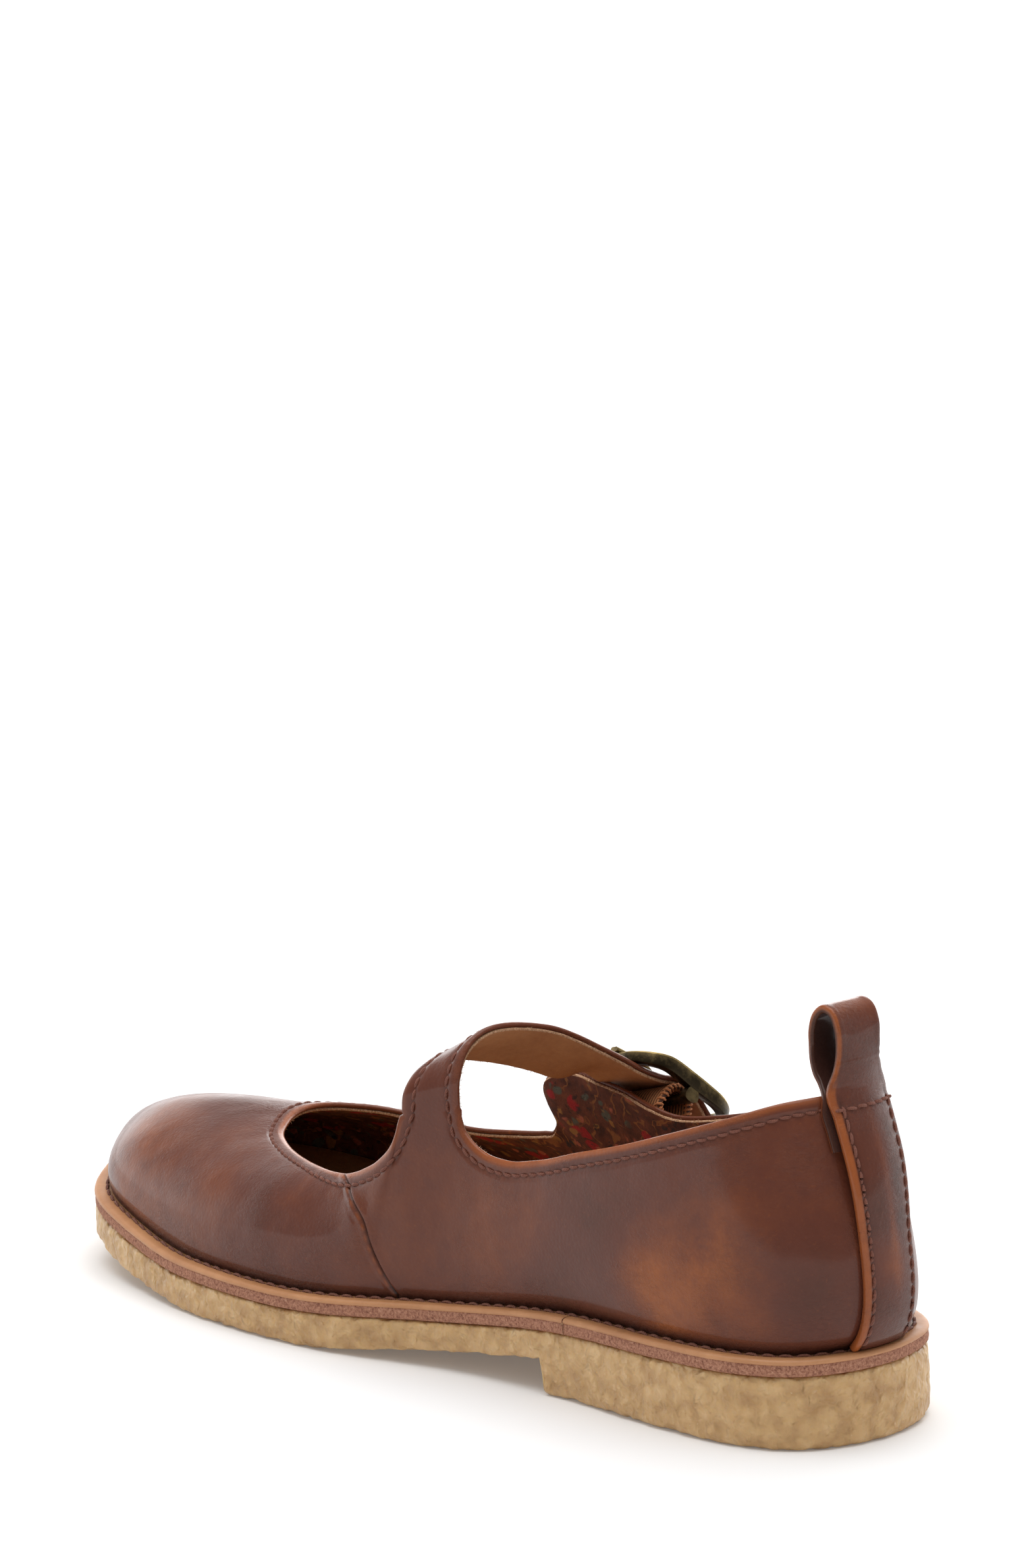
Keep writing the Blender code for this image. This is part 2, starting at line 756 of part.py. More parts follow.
def make_buckle_frame(finish):
    bm = bmesh.new()
    long = (BUCKLE_LENGTH - BUCKLE_BAR) / 2
    w, cut = BUCKLE_BAR / 2, BUCKLE_EDGE
    rings = []
    for across, down, out_x, out_y in frame_ring():
        middle = level(FRAME_ARCH, down / long)
        d = BUCKLE_DEPTH / 2 * level(FRAME_ARCH, down / long, 2)
        section = (
            (w, cut - d),
            (w, d - cut),
            (w - cut, d),
            (cut - w, d),
            (-w, d - cut),
            (-w, cut - d),
            (cut - w, -d),
            (w - cut, -d),
        )
        ring = [
            bm.verts.new(buckle_point(across + out_x * wide, down + out_y * wide, middle + high))
            for wide, high in section
        ]
        rings.append(ring)
    for i, ring in enumerate(rings):
        bridge(bm, ring, rings[(i + 1) % len(rings)])
    frame = add_piece("buckle_frame", bm, finish)
    joint = frame.modifiers.new("centre_bar", "BOOLEAN")
    joint.operation = "UNION"
    joint.object = make_centre_bar(finish)
    return frame


def make_centre_bar(finish):
    """Centre bar with the lugs that hang it under the frame's sides; it is joined to the frame."""
    bm = bmesh.new()
    reach = (BUCKLE_WIDTH - BUCKLE_BAR) / 2
    lug_top = level(FRAME_ARCH, 0.0) - BUCKLE_DEPTH / 2 + LUG_OVERLAP
    stations = (
        # across, half length, top
        (-reach - BUCKLE_BAR * 0.45, LUG_HALF, lug_top),
        (-reach + BUCKLE_BAR * 0.45, LUG_HALF, lug_top),
        (-reach + BUCKLE_BAR * 0.50, CENTRE_BAR_RADIUS, CENTRE_BAR_RADIUS),
        (reach - BUCKLE_BAR * 0.50, CENTRE_BAR_RADIUS, CENTRE_BAR_RADIUS),
        (reach - BUCKLE_BAR * 0.45, LUG_HALF, lug_top),
        (reach + BUCKLE_BAR * 0.45, LUG_HALF, lug_top),
    )
    rings = []
    for across, half, top in stations:
        ring = []
        for k in range(10):
            angle = math.radians(36.0 * k)
            high = math.sin(angle)
            out = high * (top if high > 0.0 else CENTRE_BAR_RADIUS)
            ring.append(bm.verts.new(buckle_point(across, math.cos(angle) * half, out)))
        rings.append(ring)
    for first, second in zip(rings, rings[1:]):
        bridge(bm, first, second)
    bm.faces.new(rings[0])
    bm.faces.new(rings[-1])
    bar = add_piece("centre_bar", bm, finish)
    bar.hide_render = True
    bar.display_type = "WIRE"
    return bar


def make_prong(finish):
    """Prong: curls round the centre bar, comes up through the strap and lies on the frame's upper end."""
    curl = CENTRE_BAR_RADIUS + GAP + PRONG_THICKNESS / 2
    path = []
    for degrees in range(165, 451, 26):
        angle = math.radians(degrees)
        path.append((curl * math.cos(angle), curl * math.sin(angle)))
    long = (BUCKLE_LENGTH - BUCKLE_BAR) / 2
    rest = level(FRAME_ARCH, -1.0) + BUCKLE_DEPTH / 2 * level(FRAME_ARCH, -1.0, 2) + GAP + PRONG_THICKNESS / 2
    path += PRONG_PATH
    path += [(-long * 0.72, rest - GAP / 2), (-long, rest), (-long - PRONG_OVERHANG, rest)]
    rows = [
        [buckle_point(across, down, out) for across in (-PRONG_WIDTH / 2, PRONG_WIDTH / 2)] for down, out in path
    ]
    return make_sheet("buckle_prong", rows, finish, PRONG_THICKNESS)


def make_elastic(finish):
    """Elastic band: up the outside of the tab, round the centre bar and back down to the quarter."""
    lift = GAP + ELASTIC_THICKNESS / 2
    columns = []
    for column in (-0.5, -0.17, 0.17, 0.5):
        across = column * ELASTIC_WIDTH
        bar = buckle_point(across, 0.0, 0.0)
        inner = [off_wall(*quarter_place(bar.x, bar.z - down), lift) for down in ELASTIC_INNER]
        turn = [buckle_point(across, down, out) for down, out in ELASTIC_TURN]
        outer = [off_wall(*quarter_place(bar.x, bar.z - down), lift) for down in ELASTIC_OUTER]
        columns.append(inner + turn + outer)
    elastic = make_sheet("elastic_loop", list(zip(*columns)), finish, ELASTIC_THICKNESS)
    cut = elastic.modifiers.new("prong_slot", "BOOLEAN")
    cut.object = make_cutter("prong_slot", *PRONG_SLOT)
    return elastic


def make_cutter(name, down, out):
    """Box in the buckle's directions that clears the prong."""
    half = PRONG_WIDTH / 2 + 2 * GAP
    bm = bmesh.new()
    corners = [
        bm.verts.new(buckle_point(a * half, d, o)) for d in down for o in out for a in (-1, 1)
    ]
    for a, b, c, e in ((0, 1, 3, 2), (4, 6, 7, 5), (0, 2, 6, 4), (1, 5, 7, 3), (0, 4, 5, 1), (2, 3, 7, 6)):
        bm.faces.new((corners[a], corners[b], corners[c], corners[e]))
    cutter = add_piece(name, bm, PIECES["upper"].data.materials[0])
    cutter.hide_render = True
    cutter.display_type = "WIRE"
    return cutter


FINISHES = {
    "leather": ((0.125, 0.048, 0.030), 0.42, 0.0),
    "crepe": ((0.480, 0.330, 0.150), 0.70, 0.0),
    "welt_leather": ((0.400, 0.210, 0.110), 0.60, 0.0),
    "footbed": ((0.480, 0.270, 0.110), 0.65, 0.0),
    "brass": ((0.250, 0.190, 0.100), 0.38, 0.9),
    "elastic": ((0.330, 0.130, 0.050), 0.85, 0.0),
}


def main():
    for old in list(bpy.data.objects):
        bpy.data.objects.remove(old)
    frame = bpy.data.objects.new("shoe_frame", None)
    frame.location = (-HEEL_REST, 0.0, 0.0)
    bpy.context.collection.objects.link(frame)
    PIECES["shoe_frame"] = frame
    finishes = {name: material(name, *values) for name, values in FINISHES.items()}
    make_outsole(finishes["crepe"])
    make_welt(finishes["welt_leather"])
    make_insole(finishes["footbed"])
    upper = make_upper(finishes["leather"])
    hole = upper.modifiers.new("prong_hole", "BOOLEAN")
    hole.object = make_cutter("prong_hole", *PRONG_HOLE)
    make_backstay(finishes["leather"])
    make_buckle_frame(finishes["brass"])
    make_prong(finishes["brass"])
    make_elastic(finishes["elastic"])
    bpy.context.view_layer.update()


main()
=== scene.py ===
"""Looks of the mary jane shoe: leather, lining, stitches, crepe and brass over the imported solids.

Metres, +Z up, +X from heel to toe, +Y to the inner side; the origin is the floor point under the middle of the heel.
The shapes use the sizes, tables and curves of the solids. These start at the back of the heel, and add_mesh moves
each piece to the origin.
"""

import math
import random

import bmesh
import bpy
import numpy as np
from mathutils import Matrix, Vector, bvhtree, kdtree, noise


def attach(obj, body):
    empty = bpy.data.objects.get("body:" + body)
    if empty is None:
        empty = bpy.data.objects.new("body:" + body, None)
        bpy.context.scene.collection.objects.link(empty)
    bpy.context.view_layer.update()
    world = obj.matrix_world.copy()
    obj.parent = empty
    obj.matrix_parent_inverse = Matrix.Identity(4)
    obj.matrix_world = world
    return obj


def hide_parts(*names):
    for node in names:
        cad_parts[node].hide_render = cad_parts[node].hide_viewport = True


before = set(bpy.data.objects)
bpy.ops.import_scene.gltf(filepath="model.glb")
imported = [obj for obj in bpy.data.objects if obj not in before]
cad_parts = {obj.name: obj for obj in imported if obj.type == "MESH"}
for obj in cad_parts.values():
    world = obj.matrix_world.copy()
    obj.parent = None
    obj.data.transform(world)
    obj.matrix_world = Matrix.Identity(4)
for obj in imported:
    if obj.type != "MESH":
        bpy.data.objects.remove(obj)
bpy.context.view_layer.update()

MM = 0.001

# Sizes of the solids
SOLE_LENGTH = 0.272
BALL_WIDTH = 0.0945
BACK_HEIGHT = 0.080  # collar above the floor at the back of the heel
HEEL_SEAT = 0.0167  # height of the crepe's top face at the heel
BREAST_SEAT = 0.0156  # the same above the heel breast
WAIST_SEAT = 0.0110
BALL_SEAT = 0.0083
TOE_SEAT = 0.0163
HEEL_STEP = 0.0081  # height of the waist's underside just in front of the heel
TOE_SPRING = 0.0103
HEEL_REST = 0.034  # centre of the heel's flat, from the back of the sole
BREAST_PLACE = 0.0845  # heel breast, from the back of the sole
BREAST_SLOPE = 0.0016
WELT_THICKNESS = 0.0040
WELT_WIDTH = 0.0120
FEATHER_INSET = 0.0038  # upper's foot, in from the edge of the welt
UPPER_WALL = 0.0018
STRAP_WIDTH = 0.0172
INSOLE_HEIGHT = 0.0030  # insole above the welt
INSOLE_LIFT = 0.0001
INSOLE_GAP = 0.0008  # between the insole's plug and the welt's inner edge
FOOT_GAP = 0.0010  # between the welt and the upper's outer face, whose inner edge hangs a little lower
GAP = 0.0003
BACKSTAY_WIDTH = 0.0160
BACKSTAY_FOOT = 0.035  # share of the wall's height left free at the welt
LOOP_WIDTH = 0.0130
LOOP_HEIGHT = 0.0180  # middle of the pull loop's leather above the collar
LOOP_DEPTH = 0.0092
LOOP_TUCK = 0.18  # share of the wall's height that the loop's inner leg goes down behind the backstay
LEG_SHIFT = 0.0015  # how far that leg lies to the inner side of the backstay
RIBBON = 0.0018  # thickness of the backstay's leather
BUCKLE_WIDTH = 0.0262
BUCKLE_LENGTH = 0.0320
BUCKLE_BAR = 0.0028
BUCKLE_DEPTH = 0.0040
BUCKLE_CORNER = 0.0075  # corner radius at the middle of the frame's bar
CENTRE_BAR_RADIUS = 0.0012
LUG_HALF = 0.0020  # half length of the lugs that carry the centre bar
LUG_OVERLAP = 0.0008  # how far the lugs reach into the frame
PRONG_WIDTH = 0.0024
PRONG_THICKNESS = 0.0012
PRONG_OVERHANG = 0.0016  # prong's tip past the middle of the frame's end bar
ELASTIC_WIDTH = 0.0186
ELASTIC_THICKNESS = 0.0012

# Plan outline of the welt: share of the length, then half widths as shares of the ball width
OUTLINE = (
    # along, inner, outer
    (0.03, 0.227, 0.227),
    (0.08, 0.300, 0.300),
    (0.16, 0.324, 0.324),
    (0.28, 0.318, 0.371),
    (0.42, 0.351, 0.402),
    (0.56, 0.453, 0.498),
    (0.70, 0.470, 0.529),
    (0.82, 0.415, 0.466),
    (0.92, 0.317, 0.318),
    (0.98, 0.141, 0.150),
)
TOE_POINT = 0.005  # side shift of the toe's front to the inner side

# Height of the crepe's top face along the sole
SEAT = (
    # along, height
    (0.00, HEEL_SEAT * 1.036),
    (0.12, HEEL_SEAT),
    (0.28, BREAST_SEAT),
    (0.45, WAIST_SEAT),
    (0.62, BALL_SEAT),
    (0.74, BALL_SEAT * 1.04),
    (0.90, TOE_SEAT * 0.83),
    (1.00, TOE_SEAT),
)

# Height of the underside in front of the heel
TREAD = (
    # along, height
    (BREAST_PLACE / SOLE_LENGTH, HEEL_STEP),
    (0.45, HEEL_STEP * 0.45),
    (0.59, 0.0),
    (0.72, 0.0),
    (0.82, TOE_SPRING * 0.23),
    (1.00, TOE_SPRING),
)

# Side of the crepe sole: share of its height, inset from the welt's edge
SOLE_SIDE = (
    # up, inset
    (0.00, 0.0020),
    (0.12, 0.0004),
    (0.50, 0.0000),
    (0.88, 0.0002),
    (1.00, 0.0010),
)

WELT_JOINT = 0.177  # place of the welt's butt joint around the outline

# Topline of the upper from the strap's front edge, over the throat, the outer tab and the collar, to the strap's
# rear edge: place around the outline, then shares of length, ball width and back height
TOPLINE = (
    # around, along, side, up
    (0.249, 0.4717, 0.3418, 0.750),
    (0.2525, 0.4750, 0.3524, 0.694),
    (0.256, 0.4824, 0.3587, 0.644),
    (0.260, 0.4985, 0.3619, 0.595),
    (0.265, 0.5184, 0.3598, 0.559),
    (0.272, 0.5386, 0.3513, 0.533),
    (0.285, 0.5680, 0.3280, 0.513),
    (0.305, 0.6080, 0.2900, 0.499),
    (0.335, 0.6620, 0.2328, 0.493),
    (0.370, 0.7060, 0.1693, 0.500),
    (0.420, 0.7335, 0.0899, 0.516),
    (0.460, 0.7445, 0.0317, 0.527),
    (0.500, 0.7482, -0.0265, 0.531),
    (0.540, 0.7463, -0.0847, 0.527),
    (0.580, 0.7371, -0.1323, 0.520),
    (0.630, 0.7096, -0.1958, 0.507),
    (0.670, 0.6691, -0.2487, 0.486),
    (0.700, 0.6250, -0.2804, 0.475),
    (0.725, 0.5790, -0.2963, 0.491),
    (0.742, 0.5404, -0.3037, 0.511),
    (0.752, 0.5257, -0.3058, 0.525),
    (0.758, 0.5184, -0.2984, 0.562),
    (0.764, 0.5165, -0.2804, 0.625),
    (0.770, 0.5147, -0.2593, 0.682),
    (0.777, 0.5048, -0.2434, 0.722),
    (0.788, 0.4713, -0.2434, 0.755),
    (0.800, 0.4382, -0.2434, 0.744),
    (0.815, 0.4059, -0.2434, 0.731),
    (0.830, 0.3735, -0.2455, 0.702),
    (0.845, 0.3440, -0.2593, 0.684),
    (0.862, 0.3000, -0.2857, 0.704),
    (0.885, 0.2330, -0.2980, 0.762),
    (0.910, 0.1580, -0.2930, 0.845),
    (0.935, 0.1060, -0.2420, 0.925),
    (0.960, 0.0675, -0.1700, 0.976),
    (0.980, 0.0450, -0.0850, 0.994),
    (1.000, 0.0345, 0.0000, 0.998),
    (1.020, 0.0385, 0.0850, 0.995),
    (1.040, 0.0580, 0.1700, 0.980),
    (1.065, 0.0970, 0.2500, 0.930),
    (1.090, 0.1500, 0.2820, 0.867),
    (1.120, 0.2030, 0.2960, 0.806),
    (1.160, 0.2640, 0.3000, 0.745),
    (1.190, 0.3180, 0.3000, 0.690),
    (1.205, 0.3530, 0.3016, 0.670),
    (1.213, 0.3768, 0.3016, 0.675),
    (1.220, 0.3952, 0.3026, 0.700),
    (1.226, 0.4074, 0.3037, 0.740),
    (1.231, 0.4118, 0.3026, 0.796),
)
ROOT_REAR = TOPLINE[-1][0] - 1.0
ROOT_FRONT = TOPLINE[0][0]

# Handles of the curve from the welt up to the topline, shares of the back height: the foot's along the outline's
# normal and up, the topline's along, to the inner side and up
WALL = (
    # around, out, rise, along, side, up
    (0.000, 0.135, 0.100, -0.108, 0.000, -0.275),
    (0.025, 0.138, 0.100, -0.104, 0.015, -0.275),
    (0.050, 0.088, 0.100, -0.068, 0.030, -0.275),
    (0.100, 0.060, 0.112, -0.020, 0.050, -0.250),
    (0.160, 0.069, 0.125, 0.000, 0.050, -0.200),
    (0.205, 0.056, 0.125, 0.000, 0.031, -0.150),
    (0.240, 0.044, 0.150, 0.000, 0.019, -0.150),
    (0.265, 0.038, 0.150, 0.012, 0.031, -0.100),
    (0.300, 0.038, 0.175, 0.038, 0.112, -0.019),
    (0.330, 0.038, 0.175, 0.075, 0.150, 0.006),
    (0.370, 0.038, 0.162, 0.175, 0.150, 0.012),
    (0.420, 0.051, 0.155, 0.368, 0.133, 0.040),
    (0.460, 0.062, 0.152, 0.490, 0.094, 0.045),
    (0.500, 0.055, 0.142, 0.536, 0.054, 0.009),
    (0.540, 0.043, 0.138, 0.460, 0.010, -0.078),
    (0.580, 0.034, 0.142, 0.342, -0.078, -0.096),
    (0.630, 0.038, 0.164, 0.187, -0.151, -0.078),
    (0.670, 0.038, 0.170, 0.088, -0.165, -0.082),
    (0.700, 0.038, 0.180, 0.038, -0.150, -0.080),
    (0.745, 0.044, 0.175, 0.012, -0.062, -0.088),
    (0.770, 0.044, 0.162, 0.000, -0.050, -0.175),
    (0.800, 0.056, 0.150, 0.000, -0.056, -0.200),
    (0.845, 0.062, 0.138, 0.000, -0.056, -0.175),
    (0.900, 0.056, 0.125, -0.012, -0.050, -0.212),
    (0.950, 0.066, 0.106, -0.065, -0.030, -0.262),
)

# Strap from its root on the inner quarter, over the instep and through the buckle to its tip: rear edge, then front
# edge, as shares of length, ball width and back height
STRAP = (
    # along, side, up of the rear edge; along, side, up of the front edge
    (0.4118, 0.3005, 0.872, 0.4688, 0.3418, 0.812),
    (0.4118, 0.2804, 0.945, 0.4680, 0.3153, 0.858),
    (0.4118, 0.2466, 0.990, 0.4680, 0.2709, 0.886),
    (0.4110, 0.1905, 1.015, 0.4688, 0.2116, 0.900),
    (0.4096, 0.1122, 1.012, 0.4688, 0.1270, 0.882),
    (0.4044, 0.0085, 0.984, 0.4654, 0.0212, 0.846),
    (0.3971, -0.0582, 0.948, 0.4614, -0.0582, 0.812),
    (0.3897, -0.1217, 0.902, 0.4540, -0.1270, 0.780),
)

# Path of the strap's outer face at the buckle: along the buckle from its centre bar, out from that bar's centre
STRAP_AT_BUCKLE = (
    # down, out
    (-0.0185, 0.0033),
    (-0.0125, 0.0031),
    (-0.0065, 0.0037),
    (-0.0025, 0.0048),
    (0.0015, 0.0050),
    (0.0055, 0.0032),
    (0.0098, 0.0002),
    (0.0142, -0.0024),
    (0.0188, -0.0056),
    (0.0225, -0.0096),
    (0.0250, -0.0146),
)

# Buckle: the middle of its centre bar, as shares of length, ball width and back height, and its directions
BUCKLE_PLACE = (0.4015, -0.3355, 0.669)
BUCKLE_DOWN = Vector((-0.168, -0.838, -0.520)).normalized()
BUCKLE_ACROSS = (Vector((0.953, -0.030, -0.285)) - BUCKLE_DOWN * 0.02).normalized()

# Frame of the buckle: share of the half length from the centre bar, height of the frame's middle over that bar's
# centre, share of the frame's depth
FRAME_ARCH = (
    # down, out, depth
    (-1.00, 0.0050, 0.70),
    (-0.60, 0.0054, 0.88),
    (0.00, 0.0040, 1.00),
    (0.50, 0.0026, 0.90),
    (1.00, 0.0009, 0.70),
)

# Elastic band round the centre bar, from its inner leg to its outer leg
ELASTIC_TURN = (
    # down, out
    (-0.0049, -0.0006),
    (-0.0036, 0.0013),
    (-0.0014, 0.0023),
    (0.0007, 0.0021),
    (0.0021, 0.0009),
    (0.0025, -0.0010),
    (0.0031, -0.0042),
    (0.0046, -0.0084),
)
# Where its two legs lie on the quarter, down from the centre bar
ELASTIC_INNER = (0.0080, 0.0055, 0.0030, 0.0005)
ELASTIC_OUTER = (0.0140, 0.0165, 0.0190)

# Prong from the centre bar's curl, up through the strap, towards the frame's upper end
PRONG_PATH = (
    # down, out
    (-0.0016, 0.0030),
    (-0.0036, 0.0052),
    (-0.0062, 0.0066),
)

# Pull loop from its outer leg at the collar to its inner leg: shares of its depth and height
LOOP = (
    # forward, up
    (0.01, 0.28),
    (0.03, 0.55),
    (0.11, 0.79),
    (0.29, 0.96),
    (0.57, 1.00),
    (0.83, 0.91),
    (0.99, 0.71),
    (0.97, 0.50),
    (0.86, 0.32),
    (0.68, 0.17),
    (0.46, 0.06),
)

# Stitches of the upper: distance inside the edge, pitch, length and thickness of the thread
STITCH_INSET = 0.0033
STITCH_PITCH = 0.0030
STITCH_LENGTH = 0.0027
THREAD = 0.00036
STRIP_SEAM = (1.95, 1.7)  # stitches inside the heel strip's inner and outer edge, in millimetres
EDGE_DROP = 0.0004  # the leather's edge lies this far under the topline, and its roll fills the rest
LINING_DEPTH = 0.0019  # inner face of the lining under the outer face

# Seam between the vamp and the quarter on the inner side: share of the wall's height, place around the outline
SEAM = (
    # share, around
    (0.00, 0.2425),
    (0.14, 0.2465),
    (0.30, 0.2515),
    (0.60, 0.2605),
    (0.92, 0.2720),
    (1.00, 0.2765),
)

# Relief of the leather beside an open edge: distance from the edge and height, in millimetres
EDGE_RELIEF = (
    # in, out
    (0.0, -0.02),
    (0.6, 0.14),
    (1.4, 0.24),
    (2.2, 0.20),
    (2.8, 0.00),
    (3.3, -0.20),
    (3.8, -0.04),
    (4.8, 0.05),
    (8.0, 0.00),
)

# Roll of the edge from the outer face to the lining: along the surface past the edge, and depth, in millimetres
LEATHER_ROLL = ((0.28, 0.10), (0.44, 0.34), (0.44, 0.66), (0.28, 0.92), (-0.10, 1.06), (-0.55, 1.10))
LINING_ROLL = ((-0.46, 1.16), (-0.22, 1.28), (-0.16, 1.48), (-0.22, 1.72), (-0.45, 1.90))

# Soft creases of the upper: middle as shares of length, ball width and back height, direction along x and z, then
# half length, half width and depth in millimetres (a trough is negative)
CREASES = (
    # along, side, up, dx, dz, half length, half width, depth
    (0.525, 0.38, 0.47, -0.20, -1.00, 14.0, 2.6, 0.35),
    (0.500, 0.38, 0.45, -0.25, -1.00, 15.0, 3.2, -0.30),
    (0.465, 0.36, 0.50, -0.15, -1.00, 12.0, 3.0, 0.20),
    (0.400, 0.33, 0.50, 0.90, -0.35, 11.0, 1.5, -0.12),
    (0.385, 0.33, 0.47, 0.90, -0.30, 9.0, 1.3, 0.12),
    (0.365, 0.33, 0.44, 0.95, -0.22, 10.0, 1.5, -0.12),
    (0.700, 0.37, 0.40, 0.50, -0.60, 12.0, 4.0, -0.18),
    (0.640, 0.40, 0.38, 0.20, -0.90, 12.0, 4.0, 0.15),
    (0.500, -0.38, 0.45, -0.20, -1.00, 14.0, 3.0, -0.30),
    (0.600, -0.42, 0.38, 0.20, -0.90, 12.0, 4.0, 0.20),
    (0.300, -0.33, 0.45, 0.95, -0.20, 12.0, 2.0, -0.15),
    (0.700, -0.40, 0.38, 0.40, -0.70, 12.0, 4.0, -0.20),
)

# Burnished patches of the upper: middle as shares of length, ball width and back height, radius in millimetres,
# strength (below zero is darker)
PATCHES = (
    # along, side, up, radius, strength
    (0.128, 0.32, 0.47, 13.0, 0.85),
    (0.155, 0.31, 0.34, 9.0, 0.80),
    (0.100, 0.30, 0.54, 8.0, 0.40),
    (0.175, 0.33, 0.45, 7.0, 0.45),
    (0.080, 0.28, 0.60, 10.0, 0.45),
    (0.070, 0.25, 0.38, 9.0, 0.30),
    (0.330, 0.33, 0.55, 16.0, 0.35),
    (0.350, 0.33, 0.35, 13.0, 0.28),
    (0.480, 0.35, 0.38, 14.0, 0.15),
    (0.840, 0.35, 0.28, 16.0, 0.55),
    (0.725, 0.42, 0.28, 16.0, 0.45),
    (0.880, 0.20, 0.46, 15.0, 0.50),
    (0.800, 0.10, 0.50, 12.0, -0.35),
    (0.620, 0.36, 0.36, 14.0, -0.30),
    (0.240, 0.30, 0.62, 13.0, -0.35),
    (0.030, 0.14, 0.45, 9.0, -0.35),
    (0.300, 0.32, 0.24, 14.0, -0.45),
    (0.130, 0.28, 0.26, 15.0, -0.20),
    (0.140, -0.30, 0.50, 15.0, 0.70),
    (0.600, -0.42, 0.30, 16.0, 0.40),
    (0.840, -0.30, 0.30, 15.0, 0.50),
    (0.400, -0.38, 0.30, 14.0, -0.30),
    (-0.010, 0.00, 0.52, 6.0, 0.75),
    (-0.010, -0.03, 0.70, 5.0, -0.40),
)

# How tan the rolled edge is, around the outline
EDGE_TAN = (
    # around, strength
    (0.231, 0.15),
    (0.249, 0.25),
    (0.258, 0.75),
    (0.272, 1.00),
    (0.380, 1.00),
    (0.450, 0.95),
    (0.560, 0.35),
    (0.700, 0.15),
    (0.860, 0.15),
    (0.980, 0.30),
    (1.050, 0.70),
    (1.120, 0.95),
    (1.190, 1.00),
    (1.215, 0.80),
    (1.231, 0.30),
)

# Cross section of the welt: inset from its edge and height in millimetres, and 1 on its cut side
WELT_PROFILE = (
    # in, up, cut
    (1.20, 0.00, 1), (0.30, 0.00, 1), (0.00, 0.35, 1), (-0.06, 0.80, 1), (-0.04, 1.30, 1), (0.00, 1.80, 1),
    (0.02, 2.20, 1), (-0.02, 2.55, 1), (0.06, 2.72, 1), (0.00, 2.80, 0), (-0.16, 2.95, 0), (-0.20, 3.20, 0),
    (-0.10, 3.50, 0), (0.15, 3.78, 0), (0.55, 3.96, 0), (1.10, 4.02, 0), (1.80, 3.98, 0), (2.40, 3.95, 0),
    (2.90, 3.90, 0), (3.40, 3.80, 0), (4.00, 3.90, 0), (6.00, 4.00, 0), (12.0, 4.00, 0), (12.0, 0.00, 1),
)

# Section of the buckle's frame: away from its hole over half the bar, up over half the depth, how rubbed it is
FRAME_SECTION = (
    # out, up, rubbed
    (1.00, -0.70, 0.1), (1.00, 0.0, 0.2), (1.00, 0.62, 0.4), (0.99, 0.76, 1.0), (0.88, 0.80, 0.2),
    (0.84, 0.93, 0.9), (0.74, 0.98, 0.9), (0.66, 0.94, 0.1), (0.30, 1.00, 0.25), (0.0, 1.01, 0.25),
    (-0.30, 1.00, 0.25), (-0.66, 0.94, 0.1), (-0.74, 0.98, 0.9), (-0.84, 0.93, 0.9), (-0.88, 0.80, 0.2),
    (-0.99, 0.76, 1.0), (-1.00, 0.62, 0.4), (-1.00, 0.0, 0.1), (-1.00, -0.70, 0.0), (-0.90, -0.92, 0.1),
    (-0.70, -1.0, 0.1), (0.0, -1.0, 0.1), (0.70, -1.0, 0.1), (0.90, -0.92, 0.1),
)

# Mesh of the upper: columns across the strap from either edge, rows down from the topline, and column widths
STRAP_INSETS = (0.0004, 0.0009, 0.0014, 0.0019, 0.0024, 0.0028, 0.0031, 0.0034, 0.0038, 0.0044, 0.0052, 0.0062, 0.0074)
TOP_ROWS = 19
TOP_STEP = 0.0005
LOW_ROWS = 34
STRAP_ROWS = 119
COLUMN_AT_TOP = 0.00115
COLUMN_AT_FOOT = 0.0019
COLUMN_AT_SEAM = 0.00032
SEAM_NEAR = 0.0045  # columns are that narrow within this place of a seam
SEAM_REACH = 0.075  # columns bend with a seam within this place of it

# Stitch: places along it as shares of its length, and the thread's thickness there
STITCH_PLACES = (-0.5, -0.42, -0.2, 0.0, 0.2, 0.42, 0.5)
STITCH_SHAPE = (0.55, 0.95, 1.1, 1.15, 1.1, 0.95, 0.55)

ELASTIC_RIBS = 17
ELASTIC_LOOP_PITCH = 0.00112

DARK_LEATHER = (0.068, 0.021, 0.012)
LEATHER = (0.112, 0.031, 0.017)
WARM_LEATHER = (0.188, 0.050, 0.017)
BARE_LEATHER = (0.290, 0.082, 0.020)
TAN_EDGE = (0.300, 0.080, 0.020)
THREAD_COLOUR = (0.105, 0.034, 0.020)
RAW_LINING = (0.560, 0.320, 0.180)

FLOOR_GLOW = (0.10, 0.75)  # near the shoe and far from it
LIGHTS = (
    # name, place, target, size, power in watts
    ("overhead", (0.10, 0.00, 1.30), (0.10, 0.0, 0.03), (1.6, 1.3), 16.0),
    ("far_side", (0.60, -1.10, 0.45), (0.08, 0.0, 0.04), (1.2, 0.5), 5.0),
)


def column(rows, k):
    return np.array([row[k] for row in rows], float)


def hermite(knots, values, slopes, place):
    i = np.clip(np.searchsorted(knots, place, side="right") - 1, 0, len(knots) - 2)
    span = knots[i + 1] - knots[i]
    t = (place - knots[i]) / span
    return (
        values[i] * (2 * t**3 - 3 * t**2 + 1)
        + slopes[i] * span * (t**3 - 2 * t**2 + t)
        + values[i + 1] * (3 * t**2 - 2 * t**3)
        + slopes[i + 1] * span * (t**3 - t**2)
    )


